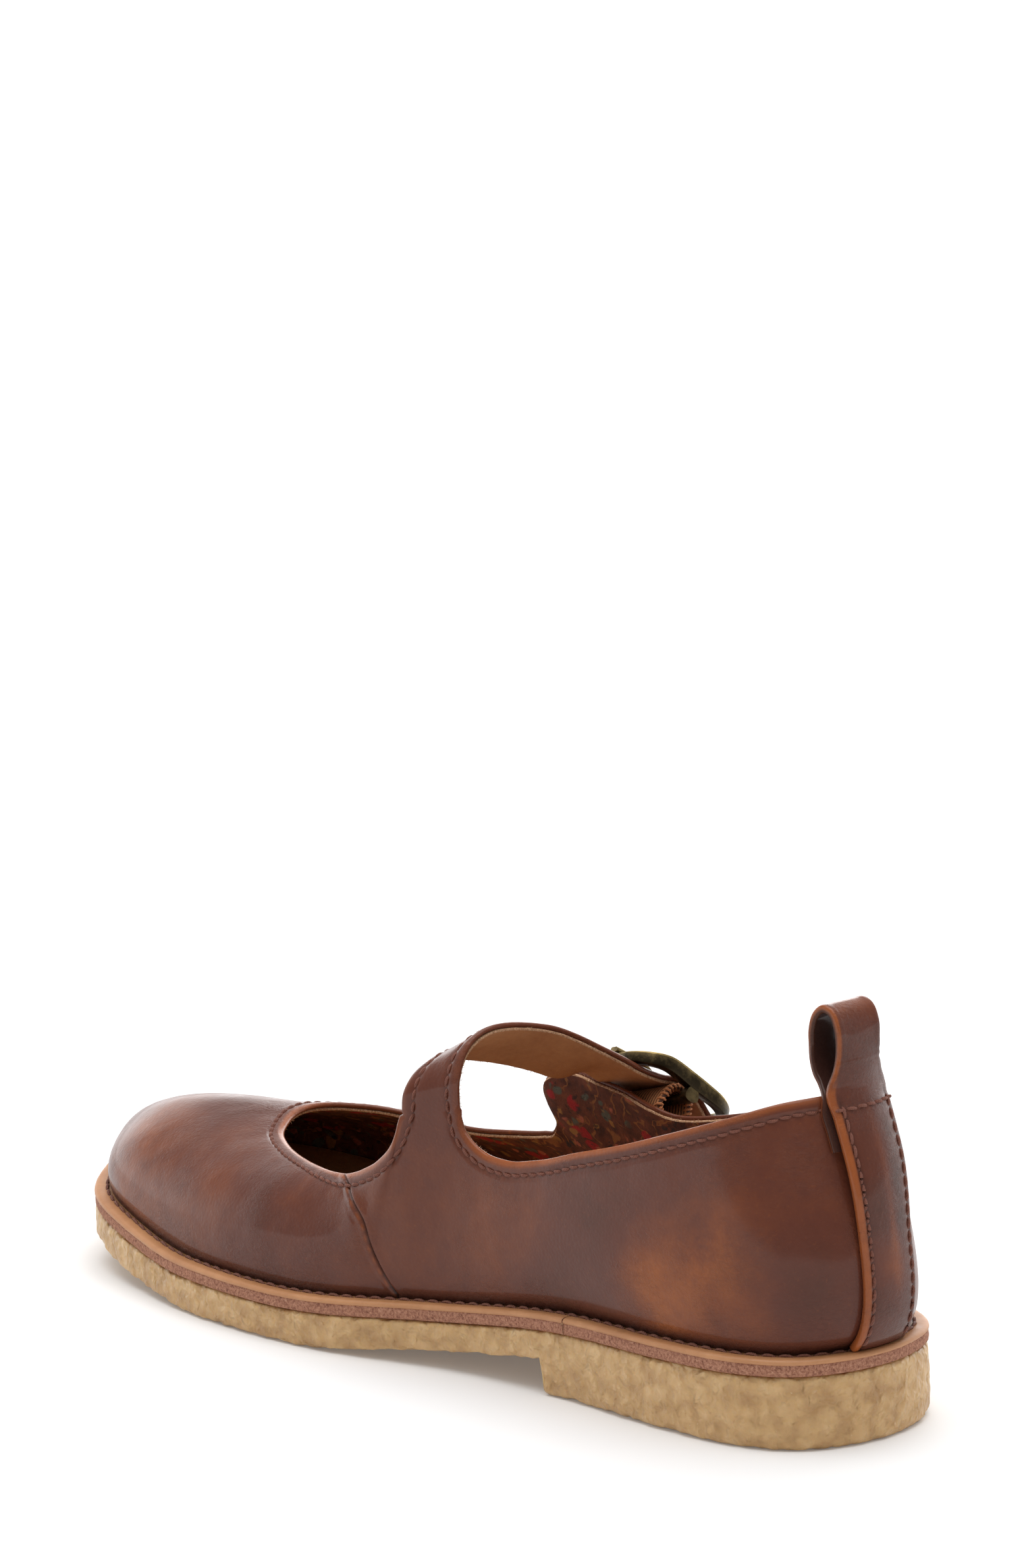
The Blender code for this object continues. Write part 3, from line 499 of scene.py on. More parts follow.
def level(rows, place, k=1):
    """Value between the rows of a table, without overshoot; the first column is the place."""
    knots, values = column(rows, 0), column(rows, k)
    steps = np.diff(values) / np.diff(knots)
    before, after = steps[:-1], steps[1:]
    same = before * after > 0
    inner = np.where(same, 2 * before * after / np.where(same, before + after, 1.0), 0.0)
    slopes = np.concatenate([steps[:1], inner, steps[-1:]])
    return hermite(knots, values, slopes, np.clip(place, knots[0], knots[-1]))


def smooth(rows, place, k):
    """Value of a smooth curve through the rows of a table; the first column is the place."""
    knots, values = column(rows, 0), column(rows, k)
    gaps = np.diff(knots)
    steps = np.diff(values) / gaps
    inner = (steps[:-1] * gaps[1:] + steps[1:] * gaps[:-1]) / (gaps[:-1] + gaps[1:])
    return hermite(knots, values, np.concatenate([steps[:1], inner, steps[-1:]]), np.asarray(place, float))


def smooth_points(rows, place, columns=(1, 2, 3)):
    return np.stack([smooth(rows, place, k) for k in columns], -1)


def around_of(along):
    """Place around the outline, from 0 at the heel to 0.5 at the toe, of a share of the length."""
    return math.acos(1.0 - 2.0 * along) / (2.0 * math.pi)


def closed_rows(rows):
    """Table of a closed curve, with three rows of the next and the last turn at its ends."""
    before = [(row[0] - 1.0, *row[1:]) for row in rows[-3:]]
    after = [(row[0] + 1.0, *row[1:]) for row in rows[:3]]
    return before + list(rows) + after


OUTLINE_ROWS = closed_rows(
    [(0.0, 0.0)]
    + [(around_of(along), inner) for along, inner, outer in OUTLINE]
    + [(0.5, TOE_POINT)]
    + [(1.0 - around_of(along), -outer) for along, inner, outer in reversed(OUTLINE)]
)
WALL_ROWS = closed_rows(WALL)


def unit(vectors):
    return vectors / np.maximum(np.linalg.norm(vectors, axis=-1, keepdims=True), 1e-12)


def bell(value, width):
    """1 where the value is 0, falling off on both sides."""
    return np.exp(-((value / width) ** 2))


def ease(value, width):
    """Rises from 0 to 1 as the value goes from 0 to the width."""
    return np.clip(value / width, 0.0, 1.0)


def lengths(points):
    """Distance run along a polyline at each point; further axes hold further polylines."""
    steps = np.linalg.norm(np.diff(points, axis=0), axis=-1)
    return np.concatenate([np.zeros((1, *steps.shape[1:])), np.cumsum(steps, axis=0)])


def along_line(places, run, points):
    """Points of a polyline at distances run along it."""
    return np.stack([np.interp(places, run, values) for values in np.asarray(points).T], -1)


def fine(points, step):
    """Points about a step apart along a polyline."""
    run = lengths(points)
    return along_line(np.linspace(0.0, run[-1], max(2, int(round(run[-1] / step)) + 1)), run, points)


def closed(line):
    return np.concatenate([line, line[:1]])


def outline(around):
    x = SOLE_LENGTH * (1.0 - np.cos(2.0 * np.pi * around)) / 2.0
    return np.stack([x, BALL_WIDTH * smooth(OUTLINE_ROWS, around, 1), np.zeros_like(x)], -1)


def edge_frame(around):
    """Points of the welt's edge in plan, and the outward normals there."""
    around = np.asarray(around, float) % 1.0
    step = 0.0005
    tangent = unit(outline(around + step) - outline(around - step))
    return outline(around), np.stack([-tangent[..., 1], tangent[..., 0], np.zeros_like(around)], -1)


def contour(around, inset, height):
    """Line round the sole, in from the welt's edge, at those heights."""
    points, normals = edge_frame(around)
    points = points - normals * inset
    points[:, 2] = height
    return points


def to_middle(ring, shares):
    """Lines from one round the sole in to its middle, one for each share of the way."""
    middle = (ring + ring[-np.arange(len(ring)) % len(ring)]) / 2
    return [ring * (1 - t) + middle * t for t in shares]


def seat(x):
    """Height of the crepe's top face."""
    return level(SEAT, x / SOLE_LENGTH)


def tread(x):
    """Underside of the sole: the heel's flat, its breast, then the waist, the ball and the toe."""
    slope = HEEL_STEP * (x - BREAST_PLACE + BREAST_SLOPE) / BREAST_SLOPE
    return np.where(x < BREAST_PLACE, np.clip(slope, 0.0, HEEL_STEP), level(TREAD, x / SOLE_LENGTH))


def sized(along, side, up):
    return np.stack([along * SOLE_LENGTH, side * BALL_WIDTH, up * BACK_HEIGHT], -1)


def topline(around):
    """Upper edge of the wall; at the strap's root it runs straight from the strap's rear edge to its front edge."""
    around = np.asarray(around, float) % 1.0
    place = np.where(around > ROOT_FRONT, around, around + 1.0)
    open_edge = sized(*(smooth(TOPLINE, place, k) for k in (1, 2, 3)))
    rear, front = (sized(*TOPLINE[i][1:]) for i in (-1, 0))
    share = ((around - ROOT_REAR) / (ROOT_FRONT - ROOT_REAR))[..., None]
    root = (around >= ROOT_REAR) & (around <= ROOT_FRONT)
    return np.where(root[..., None], rear + (front - rear) * share, open_edge)


def wall(around, share):
    """Points of the upper's outer face: share 0 is at the welt and 1 at the topline."""
    around, share = np.broadcast_arrays(np.asarray(around, float) % 1.0, np.asarray(share, float))
    start, normal = edge_frame(around)
    foot = start - normal * FEATHER_INSET
    foot[..., 2] = seat(start[..., 0]) + WELT_THICKNESS + FOOT_GAP
    top = topline(around)
    out, rise, along, side, up = (smooth(WALL_ROWS, around, k) * BACK_HEIGHT for k in range(1, 6))
    low = foot + normal * out[..., None]
    low[..., 2] += rise
    high = top + np.stack([along, side, up], -1)
    t = share[..., None]
    r = 1.0 - t
    return foot * r**3 + low * 3 * r * r * t + high * 3 * r * t * t + top * t**3


def wall_normal(around, share):
    step = 0.002
    share = np.asarray(share, float)
    rise = wall(around, np.minimum(share + step, 1.0)) - wall(around, np.maximum(share - step, 0.0))
    run = wall(np.asarray(around) + step, share) - wall(around, share)
    return unit(np.cross(rise, run))


def off_wall(around, share, lift):
    return wall(around, share) + wall_normal(around, share) * lift


BUCKLE_OUT = BUCKLE_DOWN.cross(BUCKLE_ACROSS).normalized()


def buckle_point(across, down, out):
    """Points in the buckle's own directions, from the middle of its centre bar."""
    across, down, out = (np.asarray(v, float)[..., None] for v in (across, down, out))
    origin = sized(*BUCKLE_PLACE)
    return origin + across * np.array(BUCKLE_ACROSS) + down * np.array(BUCKLE_DOWN) + out * np.array(BUCKLE_OUT)


def solve(low, high, below, steps=30):
    """Place where a test turns false, by halving."""
    for _ in range(steps):
        middle = (low + high) / 2
        if below(middle):
            low = middle
        else:
            high = middle
    return (low + high) / 2


def place_at_side(side, share):
    """Place round the heel at that distance to the inner side."""
    return solve(-0.14, 0.14, lambda a: wall(a, share)[1] < side)


def quarter_place(x, z):
    """Place and share on the outer quarter at that distance along and that height."""

    def at_along(share):
        return solve(0.76, 0.90, lambda a: wall(a, share)[0] > x, 20)

    share = solve(0.0, 1.0, lambda s: wall(at_along(s), s)[2] < z, 18)
    return at_along(share), share


def add_mesh(name, points, faces, materials, kinds=None, attributes=None, sharp=60.0):
    """Object of numpy points; kinds number each face's material, and attributes hold a value for each point."""
    mesh = bpy.data.meshes.new(name)
    points = np.asarray(points, float) - np.array([HEEL_REST, 0.0, 0.0])
    mesh.from_pydata(points.tolist(), [], [tuple(int(i) for i in face) for face in faces])
    for material in materials:
        mesh.materials.append(material)
    if kinds is not None:
        mesh.polygons.foreach_set("material_index", np.asarray(kinds, np.int32))
    for key, values in (attributes or {}).items():
        mesh.attributes.new(key, "FLOAT", "POINT").data.foreach_set("value", np.asarray(values, np.float32))
    mesh.update()
    mesh.shade_smooth()
    mesh.set_sharp_from_angle(angle=math.radians(sharp))
    piece = bpy.data.objects.new(name, mesh)
    bpy.context.collection.objects.link(piece)
    return piece


def finish_piece(piece, slot, *nodes):
    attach(piece, "root")
    if nodes:
        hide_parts(*nodes)


def fix_normals(piece, first_ring=0):
    """Turns all faces outward, after closing a first ring round the sole with quads from side to side."""
    bm = bmesh.new()
    bm.from_mesh(piece.data)
    bm.verts.ensure_lookup_table()
    ring = bm.verts[:first_ring]
    for i in range(first_ring // 2):
        corners = dict.fromkeys((ring[i], ring[i + 1], ring[(-i - 1) % first_ring], ring[-i % first_ring]))
        bm.faces.new(list(corners)).smooth = True
    if first_ring:
        bmesh.ops.remove_doubles(bm, verts=bm.verts, dist=2e-6)
    bmesh.ops.recalc_face_normals(bm, faces=bm.faces)
    bm.to_mesh(piece.data)
    bm.free()


def grid_faces(rows, columns, wrap=False, joined=False, start=0):
    """Quads of a grid whose vertices are numbered row by row; wrap closes each row, joined the last on the first."""
    faces = []
    for i in range(rows if joined else rows - 1):
        ahead = ((i + 1) % rows - i) * columns
        for j in range(columns if wrap else columns - 1):
            a, b = start + i * columns + j, start + i * columns + (j + 1) % columns
            faces.append((a, b, b + ahead, a + ahead))
    return faces


def end_faces(rows, columns, start=0):
    """Faces over the first and the last row of a grid."""
    last = start + (rows - 1) * columns
    return [tuple(range(start, start + columns)), tuple(reversed(range(last, last + columns)))]


def ring_faces(first, second):
    """Quads between two closed rings of vertex numbers."""
    return list(zip(np.roll(first, -1), first, second, np.roll(second, -1)))


def flipped(faces):
    return [tuple(reversed(face)) for face in faces]


def vertex_normals(points, faces):
    quads = np.array([face if len(face) == 4 else (*face, face[2]) for face in faces])
    a, b, c, d = (points[quads[:, k]] for k in range(4))
    face_normals = np.cross(c - a, d - b)
    normals = np.zeros_like(points)
    for k in range(4):
        np.add.at(normals, quads[:, k], face_normals)
    return unit(normals)


def outward(points, faces, chosen):
    """Faces and vertex normals, turned so that those of the chosen points lead away from the middle."""
    normals = vertex_normals(points, faces)
    if np.sum(normals[chosen] * (points[chosen] - points.mean(0))) < 0:
        return flipped(faces), -normals
    return faces, normals


def nearest_distance(points, samples):
    """Distance of each point to the nearest sample, and that sample's number."""
    tree = kdtree.KDTree(len(samples))
    for i, sample in enumerate(samples):
        tree.insert(sample, i)
    tree.balance()
    found = [tree.find(point) for point in points]
    return np.array([f[2] for f in found]), np.array([f[1] for f in found])


def value_noise(points, scale, seed):
    """Smooth noise at points, about -1 to 1, with features of the scale in metres."""
    shift = Vector((seed * 7.13, seed * 3.71, seed * 5.17))
    return np.array([noise.noise(Vector(p) / scale + shift) for p in points])


class Nodes:
    """Short names for building a node tree."""

    def __init__(self, tree, coordinates="Object"):
        self.tree = tree
        self.place = self.add("ShaderNodeTexCoord").outputs[coordinates]

    def add(self, kind, inputs=None, **settings):
        node = self.tree.nodes.new(kind)
        for key, value in settings.items():
            setattr(node, key, value)
        for key, value in (inputs or {}).items():
            self.feed(node.inputs[key], value)
        return node

    def feed(self, socket, value):
        if isinstance(value, bpy.types.NodeSocket):
            self.tree.links.new(value, socket)
        else:
            socket.default_value = value

    def math(self, kind, first, second):
        return self.add("ShaderNodeMath", {0: first, 1: second}, operation=kind).outputs[0]

    def times(self, first, second):
        return self.math("MULTIPLY", first, second)

    def plus(self, first, second):
        return self.math("ADD", first, second)

    def about(self, value, amount):
        """The value less a half, times the amount."""
        return self.times(self.math("SUBTRACT", value, 0.5), amount)

    def span(self, value, low, high, first=0.0, last=1.0):
        """The value brought from one range to another."""
        sockets = {"Value": value, "From Min": low, "From Max": high, "To Min": first, "To Max": last}
        return self.add("ShaderNodeMapRange", sockets).outputs["Result"]


class Shader(Nodes):
    """A material and short names for its nodes."""

    def __init__(self, name):
        self.material = bpy.data.materials.new(name)
        self.material.use_nodes = True
        super().__init__(self.material.node_tree)

    def set(self, **inputs):
        bsdf = self.tree.nodes["Principled BSDF"]
        for key, value in inputs.items():
            self.feed(bsdf.inputs[key.replace("_", " ")], value)

    def attribute(self, name):
        return self.add("ShaderNodeAttribute", attribute_name=name).outputs["Fac"]

    def noise(self, scale, detail=3.0, roughness=0.55, place=None, distortion=0.0):
        sockets = {"Scale": scale, "Detail": detail, "Roughness": roughness, "Distortion": distortion}
        return self.add("ShaderNodeTexNoise", {"Vector": place or self.place, **sockets}).outputs["Fac"]

    def cells(self, scale, feature="F1", place=None):
        sockets = {"Vector": place or self.place, "Scale": scale}
        return self.add("ShaderNodeTexVoronoi", sockets, feature=feature).outputs["Distance"]

    def ramp(self, value, *stops):
        node = self.add("ShaderNodeValToRGB", {"Fac": value})
        elements = node.color_ramp.elements
        while len(elements) < len(stops):
            elements.new(0.5)
        for element, (place, colour) in zip(elements, stops):
            element.position = place
            element.color = (*colour, 1.0)
        return node.outputs["Color"]

    def mix(self, share, first, second):
        node = self.add("ShaderNodeMix", {"Factor": share}, data_type="RGBA")
        for socket, value in zip([s for s in node.inputs if s.type == "RGBA"], (first, second)):
            self.feed(socket, (*value, 1.0) if isinstance(value, tuple) else value)
        return next(s for s in node.outputs if s.type == "RGBA")

    def stretched(self, x, y, z):
        return self.add("ShaderNodeMapping", {"Vector": self.place, "Scale": (x, y, z)}).outputs["Vector"]

    def warped(self, scale, reach):
        """Coordinates moved by a noise of that scale, up to that reach."""
        wobble = self.add("ShaderNodeTexNoise", {"Vector": self.place, "Scale": scale}).outputs["Color"]
        sockets = {0: wobble, 1: (reach, reach, reach), 2: self.place}
        return self.add("ShaderNodeVectorMath", sockets, operation="MULTIPLY_ADD").outputs[0]

    def bump(self, *layers):
        """Layers of (height, strength, distance), the coarsest first."""
        normal = {}
        for height, strength, distance in layers:
            node = self.add("ShaderNodeBump", {"Strength": strength, "Distance": distance, "Height": height, **normal})
            normal = {"Normal": node.outputs["Normal"]}
        self.set(**normal)


def leather():
    """Burnished leather: dark brown with reddish and orange patches, a fine grain and faint wrinkles."""
    s = Shader("burnished_leather")
    # The tone holds burnished patches and also painted light: darker above the welt, and on the heel strip a painted
    # highlight on the loop's ridge and a painted highlight stripe with painted shade beside it
    tone_and_painted_light = s.times(s.attribute("tone_and_painted_light"), s.span(s.noise(75.0, 5.0, 0.65), 0.32, 0.66, 0.25, 1.25))
    mixed = s.plus(s.about(s.noise(26.0, 4.0, 0.6), 0.9), tone_and_painted_light)
    mixed = s.plus(mixed, s.about(s.noise(190.0, 5.0, 0.65), 0.45))
    colour = s.ramp(
        s.span(mixed, -0.9, 1.1), (0.12, DARK_LEATHER), (0.42, LEATHER), (0.68, WARM_LEATHER), (1.00, BARE_LEATHER)
    )
    fleck = s.span(s.noise(900.0, 3.0, 0.7), 0.60, 0.78)
    colour = s.mix(s.times(fleck, 0.22), colour, BARE_LEATHER)
    tan = s.times(s.attribute("tan"), s.span(s.noise(300.0, 3.0), 0.25, 0.60, 0.72, 1.0))
    colour = s.mix(tan, colour, TAN_EDGE)
    # Painted shade: near black where the mesh marks the seam and stitch grooves, the pull loop's inner face and the
    # upper's foot above the welt
    colour = s.mix(s.attribute("painted_shade"), colour, (0.026, 0.009, 0.006))
    wrinkle = s.noise(520.0, 6.0, 0.62, s.stretched(1.0, 1.0, 1.7), 1.2)
    where = s.span(s.noise(48.0, 2.0), 0.42, 0.62)
    s.set(
        Base_Color=colour,
        Roughness=s.math("MAXIMUM", s.span(s.noise(120.0, 4.0), 0.3, 0.7, 0.36, 0.48), s.attribute("painted_shade")),
        Specular_IOR_Level=0.13,
        Coat_Weight=0.36,
        Coat_Roughness=0.11,
    )
    s.bump(
        (s.times(wrinkle, where), 0.80, 0.0008),
        (s.noise(230.0, 3.0, 0.6), 0.10, 0.0008),
        (s.cells(1300.0, "SMOOTH_F1"), 0.26, 0.0003),
        (s.noise(3200.0, 3.0), 0.07, 0.0001),
    )
    return s.material


def raw_edge():
    """Fuzzy cut edge of the lining."""
    s = Shader("raw_lining_edge")
    colour = s.ramp(
        s.noise(2600.0, 4.0), (0.30, (0.300, 0.140, 0.070)), (0.52, RAW_LINING), (0.72, (0.74, 0.50, 0.32))
    )
    s.set(Base_Color=colour, Roughness=0.92)
    s.bump((s.noise(3000.0, 5.0, 0.7), 0.8, 0.0004))
    return s.material


def print_lining():
    """Printed lining cloth: generic leaf strokes and blotches of mustard, red, teal and rose on reddish brown."""
    s = Shader("printed_lining")
    moved = s.warped(110.0, 0.006)
    colour = s.ramp(
        s.noise(240.0, 4.0), (0.30, (0.055, 0.014, 0.009)), (0.55, (0.130, 0.036, 0.018)), (0.80, (0.20, 0.060, 0.026))
    )
    strokes = s.add(
        "ShaderNodeTexWave",
        {"Vector": moved, "Scale": 62.0, "Distortion": 9.0, "Detail": 2.0, "Detail Scale": 3.0},
        wave_type="RINGS",
        rings_direction="SPHERICAL",
    )
    gold = s.times(s.span(strokes.outputs["Fac"], 0.90, 0.97), s.span(s.noise(150.0, 2.0), 0.46, 0.56))
    colour = s.mix(s.times(gold, 0.60), colour, (0.34, 0.14, 0.040))
    for scale, low, tint in (
        (150.0, 0.29, (0.36, 0.010, 0.018)),
        (190.0, 0.25, (0.085, 0.105, 0.085)),
        (230.0, 0.26, (0.42, 0.120, 0.075)),
        (210.0, 0.24, (0.34, 0.17, 0.045)),
        (260.0, 0.22, (0.022, 0.016, 0.020)),
    ):
        spot = s.span(s.cells(scale, "F1", moved), low, low + 0.06, 1.0, 0.0)
        keep = s.span(s.noise(scale * 0.45, 1.0, 0.5, moved), 0.50, 0.54)
        colour = s.mix(s.times(s.times(spot, keep), 0.85), colour, tint)
    ink = s.span(s.noise(420.0, 3.0, 0.6, moved), 0.60, 0.66)
    colour = s.mix(s.times(ink, 0.75), colour, (0.020, 0.010, 0.010))
    s.set(Base_Color=colour, Roughness=0.85)
    weave = s.times(s.noise(2400.0, 2.0), s.noise(2400.0, 2.0, 0.5, s.stretched(1.0, 1.0, 0.2)))
    s.bump((weave, 0.5, 0.0003))
    return s.material


def plain_leather(name, low, high, rough, grain=700.0, bump=0.25):
    """Matt leather between two colours, darkened by painted shade where the mesh marks it."""
    s = Shader(name)
    blend = s.plus(s.times(s.noise(60.0, 4.0), 0.6), s.times(s.noise(grain, 4.0, 0.65), 0.4))
    colour = s.mix(s.span(blend, 0.35, 0.65), low, high)
    colour = s.mix(s.attribute("painted_shade"), colour, tuple(c * 0.35 for c in low))
    s.set(Base_Color=colour, Roughness=s.span(s.noise(260.0), 0.3, 0.7, rough - 0.07, rough + 0.07))
    s.bump((s.noise(grain * 2.0, 4.0, 0.6), bump, 0.0003), (s.cells(2600.0), bump * 0.5, 0.0002))
    return s.material


def fibre_edge():
    """Cut side of the welt: pink-brown fibres, with painted shade in the pits between them."""
    s = Shader("welt_cut_side")
    grain = s.noise(1500.0, 5.0, 0.75)
    colour = s.ramp(
        grain,
        (0.32, (0.150, 0.052, 0.032)),
        (0.43, (0.350, 0.145, 0.088)),
        (0.56, (0.520, 0.245, 0.150)),
        (0.72, (0.680, 0.400, 0.270)),
    )
    s.set(Base_Color=colour, Roughness=0.95)
    s.bump((grain, 0.9, 0.0006), (s.noise(3200.0, 3.0), 0.4, 0.0003))
    return s.material


def crepe():
    """Honey-coloured crepe rubber, a little translucent."""
    s = Shader("crepe_rubber")
    moved = s.warped(260.0, 0.0040)
    high = s.span(s.cells(300.0, "SMOOTH_F1", moved), 0.05, 0.75, 1.0, 0.0)
    crumb = s.span(s.cells(620.0, "SMOOTH_F1", moved), 0.05, 0.75, 1.0, 0.0)
    # Colour: a mottle plus painted shade, darker between the lumps that the same cells raise in the bump
    blend = s.plus(s.times(s.noise(130.0, 3.0, 0.55), 0.55), s.times(high, 0.42))
    colour = s.ramp(
        blend, (0.22, (0.440, 0.250, 0.100)), (0.50, (0.600, 0.375, 0.165)), (0.80, (0.700, 0.470, 0.235))
    )
    speck = s.span(s.noise(820.0, 2.0, 0.5), 0.76, 0.80)
    s.set(
        Base_Color=s.mix(s.times(speck, 0.4), colour, (0.80, 0.70, 0.54)),
        Roughness=s.span(s.noise(420.0), 0.3, 0.7, 0.30, 0.50),
        Subsurface_Weight=0.25,
        Subsurface_Radius=(1.0, 0.55, 0.25),
        Subsurface_Scale=0.004,
    )
    s.bump((high, 0.40, 0.0014), (crumb, 0.65, 0.0009), (s.noise(900.0, 4.0, 0.6), 0.50, 0.0005))
    return s.material


def thread(name="thread", colour=THREAD_COLOUR):
    s = Shader(name)
    s.set(Base_Color=s.mix(s.noise(1800.0, 2.0), colour, tuple(min(1.0, c * 2.2) for c in colour)), Roughness=0.72)
    twist = s.add("ShaderNodeTexWave", {"Vector": s.place, "Scale": 900.0}, bands_direction="DIAGONAL")
    s.bump((twist.outputs["Fac"], 0.5, 0.0002))
    return s.material


def brass():
    """Antique brass: dark in its recesses, brighter where it is rubbed."""
    s = Shader("antique_brass")
    wear = s.plus(s.attribute("rub"), s.about(s.noise(420.0, 5.0, 0.7), 0.9))
    colour = s.ramp(wear, (0.15, (0.030, 0.021, 0.010)), (0.50, (0.150, 0.105, 0.045)), (0.95, (0.600, 0.430, 0.170)))
    s.set(Base_Color=colour, Metallic=0.9, Roughness=s.span(s.noise(600.0, 4.0), 0.3, 0.7, 0.26, 0.42))
    s.bump((s.noise(1500.0, 4.0, 0.7), 0.12, 0.0002))
    return s.material


def ribbed():
    """Elastic cloth: orange-brown ribs, with painted shade in the valleys between them."""
    s = Shader("ribbed_elastic")
    fleck = s.noise(1700.0, 3.0, 0.7)
    shade = s.plus(s.times(s.attribute("rib"), 0.7), s.times(fleck, 0.4))
    colour = s.ramp(shade, (0.15, (0.035, 0.014, 0.008)), (0.55, (0.270, 0.095, 0.030)), (0.90, (0.480, 0.210, 0.080)))
    s.set(Base_Color=colour, Roughness=0.88)
    s.bump((fleck, 0.6, 0.0003))
    return s.material


def seam_place(share, side):
    """Place around the outline of the seam on the inner (1) or outer (-1) side."""
    place = level(SEAM, share)
    return place if side > 0 else 1.0 - place


def upper_columns():
    """Places around the outline of the wall's columns outside the strap's root, close together at the seams."""
    span = np.linspace(ROOT_FRONT, 1.0 + ROOT_REAR, 6001)
    top = np.linalg.norm(np.diff(topline(span), axis=0), axis=1)
    foot = np.linalg.norm(np.diff(wall(span, 0.0), axis=0), axis=1)
    cost = np.maximum(top / COLUMN_AT_TOP, foot / COLUMN_AT_FOOT)
    for side in (1, -1):
        near = np.abs(span[:-1] - seam_place(1.0, side)) < SEAM_NEAR
        cost = np.where(near, np.maximum(cost, np.maximum(top, foot) / COLUMN_AT_SEAM), cost)
    run = np.concatenate([[0.0], np.cumsum(cost)])
    return np.interp(np.linspace(0.0, run[-1], int(run[-1]) + 1), run, span)[1:-1]


def strap_edges():
    """Rear and front edge of the strap from its root to its tip, a row for each step."""
    half = STRAP_WIDTH / 2
    rows = [(topline(ROOT_REAR), topline(ROOT_FRONT))]
    rows += [(sized(*row[:3]), sized(*row[3:])) for row in STRAP]
    rows += [(buckle_point(-half, down, out), buckle_point(half, down, out)) for down, out in STRAP_AT_BUCKLE]
    table = [[k, *rear, *front] for k, (rear, front) in enumerate(rows)]
    places = np.linspace(0.0, len(table) - 1, STRAP_ROWS + 1)[1:]
    return smooth_points(table, places), smooth_points(table, places, (4, 5, 6))


def upper_outer():
    """The wall's places around the outline, its grid from the topline down, and the strap's grid over its root."""
    low = [inset / STRAP_WIDTH for inset in STRAP_INSETS]
    shares = np.array(low + [0.5] + [1.0 - share for share in reversed(low)])
    around = np.concatenate([ROOT_REAR + (ROOT_FRONT - ROOT_REAR) * shares, upper_columns()])
    fine_shares = np.linspace(0.0, 1.0, 201)
    run = lengths(wall(around[None, :], fine_shares[:, None]))
    near_top = EDGE_DROP + np.arange(TOP_ROWS) * TOP_STEP
    grid_share = np.zeros((TOP_ROWS + LOW_ROWS, len(around)))
    for j, total in enumerate(run[-1]):
        below = np.concatenate([near_top, np.linspace(near_top[-1], total, LOW_ROWS + 1)[1:]])
        grid_share[:, j] = np.interp(total - below, run[:, j], fine_shares)
    bent = np.repeat(around[None, :], len(grid_share), 0)
    for side in (1, -1):
        seam = float(seam_place(1.0, side))
        weight = np.clip(1.0 - np.abs((around - seam + 0.5) % 1.0 - 0.5) / SEAM_REACH, 0.0, 1.0)
        weight = weight * weight * (3 - 2 * weight)
        bent = bent + weight * (seam_place(grid_share, side) - seam)
    points = wall(bent, grid_share)
    tuck = points[-1] - edge_frame(bent[-1])[1] * 0.0007
    tuck[:, 2] -= FOOT_GAP + 0.0012
    rear, front = strap_edges()
    across = shares[None, :, None]
    strap = rear[:, None] * (1 - across) + front[:, None] * across
    return around, np.concatenate([points, tuck[None]]), strap


def upper_rim(count, rows, strap_rows, width):
    """Vertex numbers of the open edge in order: the wall's top, then round the strap."""
    first = rows * count
    rear = [first + i * width for i in range(strap_rows)]
    front = [number + width - 1 for number in rear]
    tip = list(range(rear[-1] + 1, front[-1]))
    return np.array(list(range(width, count)) + [0] + rear + tip + front[::-1] + [width - 1])


def patches(points):
    """Sum of the burnished patches at the points."""
    total = np.zeros(len(points))
    for along, side, up, radius, strength in PATCHES:
        total += strength * bell(np.linalg.norm(points - sized(along, side, up), axis=1), radius * MM)
    return total


def crease_relief(points):
    """Soft troughs and ridges placed one by one, in metres."""
    total = np.zeros(len(points))
    for along, side, up, dx, dz, length, width, depth in CREASES:
        away = points - sized(along, side, up)
        norm = math.hypot(dx, dz)
        run = (away[:, 0] * dx + away[:, 2] * dz) / norm
        off = (away[:, 0] * dz - away[:, 2] * dx) / norm
        same_side = points[:, 1] * side > 0
        total += same_side * depth * MM * bell(run, length * MM) * bell(off, width * MM)
    return total


def seam_relief(points):
    """Closed seam between vamp and quarter: a groove darkened by painted shade, with a pinched ridge on the vamp's
    side.
    """
    relief, painted_shade, tan = np.zeros((3, len(points)))
    shares = np.linspace(0.0, 1.0, 400)
    for side in (1, -1):
        line = fine(wall(seam_place(shares, side), shares), 0.0002)
        near = (points[:, 1] * side > 0.012) & (np.abs(points[:, 0] - line[:, 0].mean()) < 0.030)
        chosen = np.nonzero(near)[0]
        distance, found = nearest_distance(points[chosen], line)
        signed = np.where(points[chosen, 0] > line[found, 0], distance, -distance) / MM
        pinch = 0.5 + 0.5 * np.sin(line[found, 2] / (2.6 * MM) * 2 * np.pi)
        relief[chosen] += (
            -0.42 * bell(signed, 0.30)
            + (0.10 + 0.07 * pinch) * bell(signed - 1.1, 0.7)
            + 0.08 * bell(signed + 1.0, 0.9)
            - 0.12 * pinch * bell(signed - 2.3, 0.5)
        ) * MM
        # Painted shade in the seam's groove
        painted_shade[chosen] += 0.85 * bell(signed, 0.30)
        tan[chosen] += 0.60 * pinch * bell(signed - 0.6, 0.40)
    return relief, painted_shade, tan


